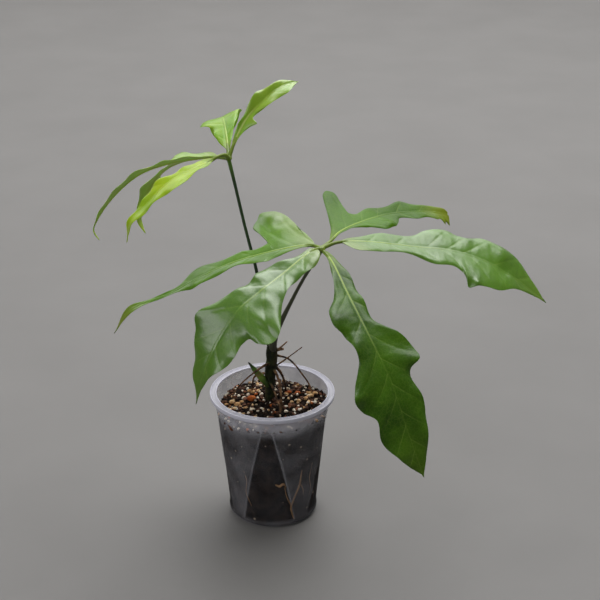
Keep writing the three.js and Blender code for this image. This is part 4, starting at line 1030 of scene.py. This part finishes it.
class Rib:
    """A midrib: the place and the left and top directions at any length along it"""

    def __init__(self, points):
        self.path = smooth_path([point[:3] for point in points])
        self.run = lengths_along(self.path)
        self.length = self.run[-1]
        spans = np.arange(len(self.path)) / PATH_STEPS
        self.roll = np.radians(np.interp(spans, range(len(points)), [point[3] for point in points]))
        before = np.vstack([self.path[:1], self.path[:-1]])
        after = np.vstack([self.path[1:], self.path[-1:]])
        self.along = unit(after - before)
        over = np.array([0.0, 0.0, 1.0])
        carried = []
        for along in self.along:
            over = unit(over - along * (over @ along))
            carried.append(over)
        self.over = np.array(carried)

    def at(self, u):
        """Place, left and top at the lengths u; past either end the midrib goes straight on"""
        held = np.clip(u, 0, self.length)
        place, along, over = (np.stack([np.interp(held, self.run, column) for column in table.T], -1)
                              for table in (self.path, self.along, self.over))
        along, over = unit(along), unit(over)
        roll = np.interp(held, self.run, self.roll)[..., None]
        left = np.cross(over, along)
        raised = left * np.cos(roll) + over * np.sin(roll)
        top = over * np.cos(roll) - left * np.sin(roll)
        return place + along * (u - held)[..., None], raised, top


def rows_across(shape, rib_length, count):
    """Feet of the rows on the midrib, and their ends on the right and left margins, evenly spread"""
    start = min(shape["left"][0][0], shape["right"][0][0])
    margins = [smooth_path(shape[side]) for side in ("right", "left")]
    runs = [lengths_along(margin) for margin in margins]
    feet = []
    for margin, run in zip(margins, runs):
        foot = np.minimum(margin[:, 0] - VEIN_REACH * np.abs(margin[:, 1]), rib_length)
        foot = np.maximum.accumulate(foot) + FOOT_CREEP * run
        feet.append(start + (rib_length - start) * (foot - foot[0]) / (foot[-1] - foot[0]))
    stops = np.sort(np.concatenate(feet))
    reached = [np.interp(stops, foot, run) for foot, run in zip(feet, runs)]
    pace = (stops - start) / (rib_length - start) + sum(run / run[-1] for run in reached)
    wanted = np.linspace(0, pace[-1], count, endpoint=False)
    ends = []
    for margin, run, at_stop in zip(margins, runs, reached):
        own = np.interp(wanted, pace, at_stop)
        ends.append(np.stack([np.interp(own, run, margin[:, 0]), np.interp(own, run, margin[:, 1])], 1))
    return np.interp(wanted, pace, stops), *ends


def side_veins(u, v, feet, rib_length):
    """Signed length along the midrib to the nearest side vein, and the skin's arch between two veins"""
    reach = np.abs(v)
    foot = u - VEIN_LEAN * reach + VEIN_BEND * reach ** 2
    known = np.array([feet[0] - FIRST_GAP, *feet, max(feet[-1], rib_length) + LAST_GAP], float)
    after = np.clip(np.searchsorted(known, foot), 1, len(known) - 1)
    low, high = known[after - 1], known[after]
    gap = np.where(foot - low < high - foot, foot - low, foot - high)
    between = np.clip((foot - low) / (high - low), 0, 1)
    return gap, np.sin(math.pi * between)


def blade(shape, number):
    """One leaflet's closed shell and its surface values: a waved sheet, thickened downwards"""
    rib = Rib(shape["rib"])
    rows = int(rib.length / ROW_STEP)
    shares = np.arange(rows)[:, None] / rows
    feet, right_end, left_end = rows_across(shape, rib.length, rows)
    feet = feet[:, None]
    along = (feet - feet[0]) / (rib.length - feet[0])

    # Each row's points run from the right margin over the midrib to the left one, closer at the ends
    t = 0.5 - 0.5 * np.cos(math.pi * np.arange(1, COLUMNS + 1) / COLUMNS)
    t = np.concatenate([-t[::-1], [0], t])
    far = np.abs(t)
    end = np.where((t < 0)[None, :, None], right_end[:, None, :], left_end[:, None, :])
    u = feet + (end[..., 0] - feet) * far
    v = end[..., 1] * far

    # Height over the flat blade: waves and a roll at the margins, hills, the fold and the droop
    swell = shape["wave"] * np.sqrt(np.sin(math.pi * shares))
    height = swell * far ** 3 * np.sin(2 * math.pi * shape["waves"] * shares + WAVE_SHIFT * (t >= 0))
    rolled = np.clip((far - 1 + ROLL_WIDTH) / ROLL_WIDTH, 0, 1) ** 2
    rolled = rolled * np.clip(np.abs(end[..., 1]) / ROLL_FULL_WIDTH, 0, 1)
    height = height - MARGIN_ROLL * rolled * (1 + 0.5 * np.sin(ROLL_PACE * shares + 2 * np.sign(t)))
    for hill_u, hill_v, width, rise in shape["hills"]:
        height = height + rise * np.exp(-((u - hill_u) ** 2 + (v - hill_v) ** 2) / width ** 2)
    place, left, top = rib.at(u)
    fold = math.radians(shape["fold"])
    height = height + np.abs(v) * math.sin(fold) - shape["droop"] * v ** 2
    grid = place + left * (v * math.cos(fold))[..., None] + top * height[..., None]
    points = np.vstack([grid.reshape(-1, 3), rib.path[-1:]])

    # The top's faces, and the underside at the blade's thickness below it
    width = len(t)
    tip = len(points) - 1
    faces = [(a, a + width, a + width + 1, a + 1)
             for row in range(rows - 1) for a in range(row * width, row * width + width - 1)]
    faces += [(a, tip, a + 1) for a in range((rows - 1) * width, rows * width - 1)]
    normals = np.zeros_like(points)
    quads = np.array([face if len(face) == 4 else face + face[-1:] for face in faces])
    flat = np.cross(points[quads[:, 2]] - points[quads[:, 0]], points[quads[:, 3]] - points[quads[:, 1]])
    for corner in range(4):
        np.add.at(normals, quads[:, corner], flat)
    up = unit(normals)
    keel = (KEEL_DEPTH * (1 - along) + KEEL_AT_TIP) * np.exp(-(v / KEEL_WIDTH) ** 2)
    deep = BLADE_THICKNESS * (1 - 0.5 * far ** 8) + keel
    under = points - up * np.append(deep.ravel(), TIP_THICKNESS)[:, None]

    # Both sides and the strip round the edge as one closed shell
    count = len(points)
    shell = faces + [tuple(corner + count for corner in face[::-1]) for face in faces]
    edge = list(range(width)) + [row * width + width - 1 for row in range(1, rows)] + [tip]
    edge += [row * width for row in range(rows - 1, 0, -1)]
    shell += [(a, b, b + count, a + count) for a, b in zip(edge, edge[1:] + edge[:1])]

    # What the relief and the skin's material read at each point
    veins = [side_veins(u, v, shape["veins"][side], rib.length) for side in (0, 1)]
    gap, arch = (np.where(t >= 0, veins[0][kind], veins[1][kind]) for kind in (0, 1))
    room = np.clip(np.abs(end[..., 1]) / QUILT_WIDTH, 0, 1) * np.sin(math.pi * far) ** 0.6
    values = {"vein_gap": gap, "arch": arch * room, "room": room, "from_rib": v, "run": along + 0 * v}
    for label, value in values.items():
        values[label] = np.tile(np.append(value.ravel(), value.ravel()[-1]), 2)
    values["from_rib"][[tip, tip + count]] = 0
    # The green value is partly the leaflet's own green and partly painted light and shade
    for label in ("green_and_painted_light", "waxy", "ripe"):
        values[label] = np.full(2 * count, shape[label])
    values["underside"] = np.repeat([0.0, 1.0], count)
    ground = SPOT_PITCH * number
    spots = np.stack([u, v, 0 * u + ground], -1).reshape(-1, 3)
    values["spot"] = np.tile(np.vstack([spots, (rib.length, 0, ground)]), (2, 1)) * MM
    values["up"] = np.tile(up, (2, 1))
    return np.vstack([points, under]), shell, values


# The skin's relief follows the veins: it sinks to each side vein, arches between two, ripples finely
# across, and rises in a narrow ridge along the midrib.
raise_skin, given = geometry_tree("raise_skin", {
    "Vein Depth": "Float", "Vein Width": "Float", "Quilt Height": "Float", "Ripple Height": "Float",
    "Ripple Length": "Float", "Midrib Height": "Float", "Midrib Width": "Float", "Material": "Material"})
tree = raise_skin
gap, arch, room, from_rib, run = (
    add_node(tree, "GeometryNodeInputNamedAttribute", {"Name": name})
    for name in ("vein_gap", "arch", "room", "from_rib", "run"))
spot, up = (add_node(tree, "GeometryNodeInputNamedAttribute", {"Name": name}, data_type="FLOAT_VECTOR")
            for name in ("spot", "up"))
gap = add_node(tree, "ShaderNodeMath", {0: gap}, operation="ABSOLUTE")
dip = add_node(tree, "ShaderNodeMapRange", {"Value": gap, "From Max": given["Vein Width"], "To Min": 1.0,
                                            "To Max": 0.0}, interpolation_type="SMOOTHERSTEP")
dip = add_node(tree, "ShaderNodeMath", {0: dip, 1: room}, operation="MULTIPLY")
dip = add_node(tree, "ShaderNodeMath", {0: dip, 1: given["Vein Depth"]}, operation="MULTIPLY")
height = add_node(tree, "ShaderNodeMath", {0: arch, 1: given["Quilt Height"]}, operation="MULTIPLY")
height = add_node(tree, "ShaderNodeMath", {0: height, 1: dip}, operation="SUBTRACT")
drawn_out = add_node(tree, "ShaderNodeVectorMath", {0: spot, 1: (1.0, 0.4, 1.0)}, operation="MULTIPLY")
pace = add_node(tree, "ShaderNodeMath", {0: 1.0, 1: given["Ripple Length"]}, operation="DIVIDE")
ripple = add_node(tree, "ShaderNodeTexNoise", {"Vector": drawn_out, "Scale": pace, "Detail": 1})
ripple = add_node(tree, "ShaderNodeMath", {0: ripple, 1: 0.5}, operation="SUBTRACT")
ripple = add_node(tree, "ShaderNodeMath", {0: ripple, 1: given["Ripple Height"]}, operation="MULTIPLY")
height = add_node(tree, "ShaderNodeMath", {0: ripple, 1: room, 2: height}, operation="MULTIPLY_ADD")
from_rib = add_node(tree, "ShaderNodeMath", {0: from_rib}, operation="ABSOLUTE")
groove_width = add_node(tree, "ShaderNodeMath", {0: given["Midrib Width"], 1: 3.5}, operation="MULTIPLY")
strength = add_node(tree, "ShaderNodeMapRange", {"Value": run, "To Min": 1.0, "To Max": 0.3})
for reach, share in ((given["Midrib Width"], 1.6), (groove_width, -1.0)):
    swell = add_node(tree, "ShaderNodeMapRange", {"Value": from_rib, "From Max": reach, "To Min": share,
                                                  "To Max": 0.0}, interpolation_type="SMOOTHERSTEP")
    swell = add_node(tree, "ShaderNodeMath", {0: swell, 1: strength}, operation="MULTIPLY")
    height = add_node(tree, "ShaderNodeMath", {0: swell, 1: given["Midrib Height"], 2: height},
                      operation="MULTIPLY_ADD")
shift = add_node(tree, "ShaderNodeVectorMath", {0: up, "Scale": height}, operation="SCALE")
raised = add_node(tree, "GeometryNodeSetPosition", {"Geometry": given["Shape"], "Offset": shift})
finish_tree(tree, raised, given)

OLIVE = "#76901c"
RIPE_YELLOW = "#868f28"
NET_CELL = 2.381
GRAIN_SIZE = 1.4286


# Leaf skin is a film of wax over thin tissue: satin on top with a soft sheen, paler and duller underneath,
# and a little light passes through. Each leaflet has its own green, partly painted light and shade set for
# how brightly the leaflet is lit, its own wax, and a tip that may have turned yellow. The veinlets' net and
# the skin's grain are drawn several times coarser than they are, as finer ones wouldn't show.
def leaf_skin(name, deep, fresh, vein, underside, dullness, glow):
    """Two greens that drift into each other, olive at the knuckle, with pale veins and a fine net"""
    material, tree, place = new_material(name)
    gap, from_rib, run, below, green_and_painted_light, waxy, ripe = (
        add_node(tree, "ShaderNodeAttribute", attribute_name=label).outputs["Fac"]
        for label in ("vein_gap", "from_rib", "run", "underside", "green_and_painted_light", "waxy", "ripe"))
    spot = add_node(tree, "ShaderNodeAttribute", attribute_name="spot").outputs["Vector"]
    drift = add_node(tree, "ShaderNodeTexNoise", {
        "Vector": place, "Scale": pattern_scale(26.3), "Detail": 3})
    drift = add_node(tree, "ShaderNodeMapRange", {"Value": drift, "From Min": 0.3, "From Max": 0.7,
                                                  "To Min": -0.25, "To Max": 0.25})
    # The leaflet's green value shifts the drift: partly its own green, partly painted light and shade
    drift = add_node(tree, "ShaderNodeMath", {0: drift, 1: green_and_painted_light}, use_clamp=True)
    tone = add_node(tree, "ShaderNodeMix", {"Factor": drift, "A": linear(deep), "B": linear(fresh)},
                    data_type="RGBA")
    net = add_node(tree, "ShaderNodeTexVoronoi", {"Vector": spot, "Scale": pattern_scale(NET_CELL)},
                   feature="DISTANCE_TO_EDGE")
    thread = add_node(tree, "ShaderNodeMapRange", {"Value": net, "From Max": 0.09, "To Min": 0.07,
                                                   "To Max": 0.0})
    near_rib = add_node(tree, "ShaderNodeMath", {0: from_rib}, operation="ABSOLUTE")
    near_vein = add_node(tree, "ShaderNodeMath", {0: gap}, operation="ABSOLUTE")
    rib_line = add_node(tree, "ShaderNodeMapRange", {"Value": near_rib, "From Min": 0.75, "From Max": 0.35})
    vein_line = add_node(tree, "ShaderNodeMapRange", {"Value": near_vein, "From Min": 0.9, "From Max": 0.2})
    rib_fade = add_node(tree, "ShaderNodeMapRange", {"Value": run, "From Min": 0.08, "From Max": 0.55,
                                                     "To Min": 0.85, "To Max": 0.05})
    vein_fade = add_node(tree, "ShaderNodeMapRange", {"Value": near_rib, "From Max": 18.0, "To Min": 0.13,
                                                      "To Max": 0.0})
    at_knuckle = add_node(tree, "ShaderNodeMapRange", {"Value": run, "From Max": 0.14, "To Min": 0.7,
                                                       "To Max": 0.0}, interpolation_type="SMOOTHSTEP")
    at_tip = add_node(tree, "ShaderNodeMapRange", {"Value": run, "From Min": 0.74},
                      interpolation_type="SMOOTHSTEP")
    at_tip, vein_line, rib_line = (
        add_node(tree, "ShaderNodeMath", {0: line, 1: fade}, operation="MULTIPLY")
        for line, fade in ((at_tip, ripe), (vein_line, vein_fade), (rib_line, rib_fade)))
    for share, colour in ((thread, vein), (at_knuckle, OLIVE), (at_tip, RIPE_YELLOW), (vein_line, vein),
                          (rib_line, vein), (below, underside)):
        tone = add_node(tree, "ShaderNodeMix", {"Factor": share, "A": tone, "B": linear(colour)},
                        data_type="RGBA")
    grain = add_node(tree, "ShaderNodeTexNoise", {
        "Vector": spot, "Scale": pattern_scale(GRAIN_SIZE), "Detail": 3})
    dull = add_node(tree, "ShaderNodeMapRange", {
        "Value": grain, "To Min": dullness - 0.06, "To Max": dullness + 0.1})
    dull = add_node(tree, "ShaderNodeMath", {0: below, 1: 0.2, 2: dull}, operation="MULTIPLY_ADD")
    net_relief = add_node(tree, "ShaderNodeMapRange", {"Value": net, "From Max": 0.16},
                          interpolation_type="SMOOTHSTEP")
    relief = add_node(tree, "ShaderNodeBump", {
        "Height": net_relief, "Strength": 0.4, "Distance": 0.05 * MM})
    relief = add_node(tree, "ShaderNodeBump", {"Height": grain, "Strength": 0.3, "Distance": 0.06 * MM,
                                               "Normal": relief})
    gloss = add_node(tree, "ShaderNodeMath", {0: waxy, 1: 0.5}, operation="MULTIPLY")
    coat = add_node(tree, "ShaderNodeMath", {0: waxy, 1: 0.4}, operation="MULTIPLY")
    surface = add_node(tree, "ShaderNodeBsdfPrincipled", {
        "Base Color": tone, "Roughness": dull, "IOR": 1.5, "Normal": relief, "Specular IOR Level": gloss,
        "Coat Weight": coat, "Coat Roughness": 0.28, "Subsurface Weight": glow,
        "Subsurface Radius": (0.6, 1.0, 0.2), "Subsurface Scale": 1.0 * MM})
    add_node(tree, "ShaderNodeOutputMaterial", {"Surface": surface})
    return material


KNUCKLE_RADIUS = 2.7
KNUCKLE_REACH = 1.6
KNUCKLE_TAPER = 0.6
KNUCKLE_VOXEL = 0.25
STALK_RADII = [1.7, 1.35, 1.2, 1.05, 0.55]
STALK_OVERLAP = 9.0
STALK_SINK = (0.25, 0.7)

# Stalks and knuckle: the same skin as the petiole's head, a yellower olive where the leaflets part
knuckle_skin, tree, place = new_material("olive_knuckle_skin")
patches = add_node(tree, "ShaderNodeTexNoise", {"Vector": place, "Scale": pattern_scale(5.26), "Detail": 3})
tone = add_node(tree, "ShaderNodeMix", {"Factor": patches, "A": linear("#3f5a12"), "B": linear("#8fa62e")},
                data_type="RGBA")
surface = add_node(tree, "ShaderNodeBsdfPrincipled", {"Base Color": tone, "Roughness": 0.42})
add_node(tree, "ShaderNodeOutputMaterial", {"Surface": surface})


def leaflet_stalk(shape):
    """The round stalk from the knuckle to just under the foot of the blade"""
    rib = Rib(shape["rib"])
    share = np.linspace(0, 1, len(STALK_RADII))
    reach = max(shape["left"][0][0], shape["right"][0][0]) + STALK_OVERLAP
    place, _, top = rib.at(share * reach)
    sink = STALK_SINK[0] + (STALK_SINK[1] - STALK_SINK[0]) * share
    return {"points": place - top * sink[:, None], "radii": STALK_RADII}


def grow_leaf(name, node, knuckle, leaflets, skin, relief):
    """The blades of a leaf in one piece, and the knuckle with its five stalks in another"""
    shells = [blade(shape, number) for number, shape in enumerate(leaflets.values())]
    starts = np.cumsum([0] + [len(points) for points, _, _ in shells])
    faces = [tuple(corner + start for corner in face)
             for (_, shell, _), start in zip(shells, starts) for face in shell]
    blades = mesh_piece("blades", np.concatenate([points for points, _, _ in shells]), faces, skin)
    for label in shells[0][2]:
        values = np.concatenate([values[label] for _, _, values in shells])
        kind, field = ("FLOAT", "value") if values.ndim == 1 else ("FLOAT_VECTOR", "vector")
        blades.data.attributes.new(label, kind, "POINT").data.foreach_set(field, values.ravel())
    blades = run_nodes(blades, raise_skin, {**relief, "Material": skin}, name + "_blades")
    centre = np.array(knuckle, float)
    end_radius = KNUCKLE_TAPER * KNUCKLE_RADIUS
    lump = {"points": [centre - (0, 0, KNUCKLE_REACH), centre, centre + (0, 0, KNUCKLE_REACH)],
            "radii": [end_radius, KNUCKLE_RADIUS, end_radius]}
    stalks = run_nodes(limb_curves([lump, *map(leaflet_stalk, leaflets.values())]), limb_skin, {
        "Step": 0.5 * MM, "Sides": 20, "Uneven": 0.2 * MM, "Uneven Scale": pattern_scale(4),
        "Material": knuckle_skin}, "knuckle_limbs")
    stalks = grow_together(stalks, knuckle_skin, KNUCKLE_VOXEL, name + "_knuckle")
    for piece in (blades, stalks):
        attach(piece, "root")
        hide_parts(node)


grow_leaf("older_leaf", "blade_older_leaf", KNUCKLE_1, LEAFLETS_1,
          leaf_skin("older_leaf_skin", deep="#284900", fresh="#5b8b10", vein="#b0c860",
                    underside="#5f8628", dullness=0.34, glow=0.15),
          {"Vein Depth": 0.15 * MM, "Vein Width": 2.2, "Quilt Height": 0.2 * MM, "Ripple Height": 0.8 * MM,
           "Ripple Length": 6 * MM, "Midrib Height": 0.25 * MM, "Midrib Width": 0.9})
grow_leaf("young_leaf", "blade_young_leaf", KNUCKLE_2, LEAFLETS_2,
          leaf_skin("young_leaf_skin", deep="#5f9a16", fresh="#b0c81c", vein="#bccd68",
                    underside="#b0cc3c", dullness=0.36, glow=0.35),
          {"Vein Depth": 0.12 * MM, "Vein Width": 2.0, "Quilt Height": 0.2 * MM, "Ripple Height": 0.4 * MM,
           "Ripple Length": 4 * MM, "Midrib Height": 0.25 * MM, "Midrib Width": 0.8})
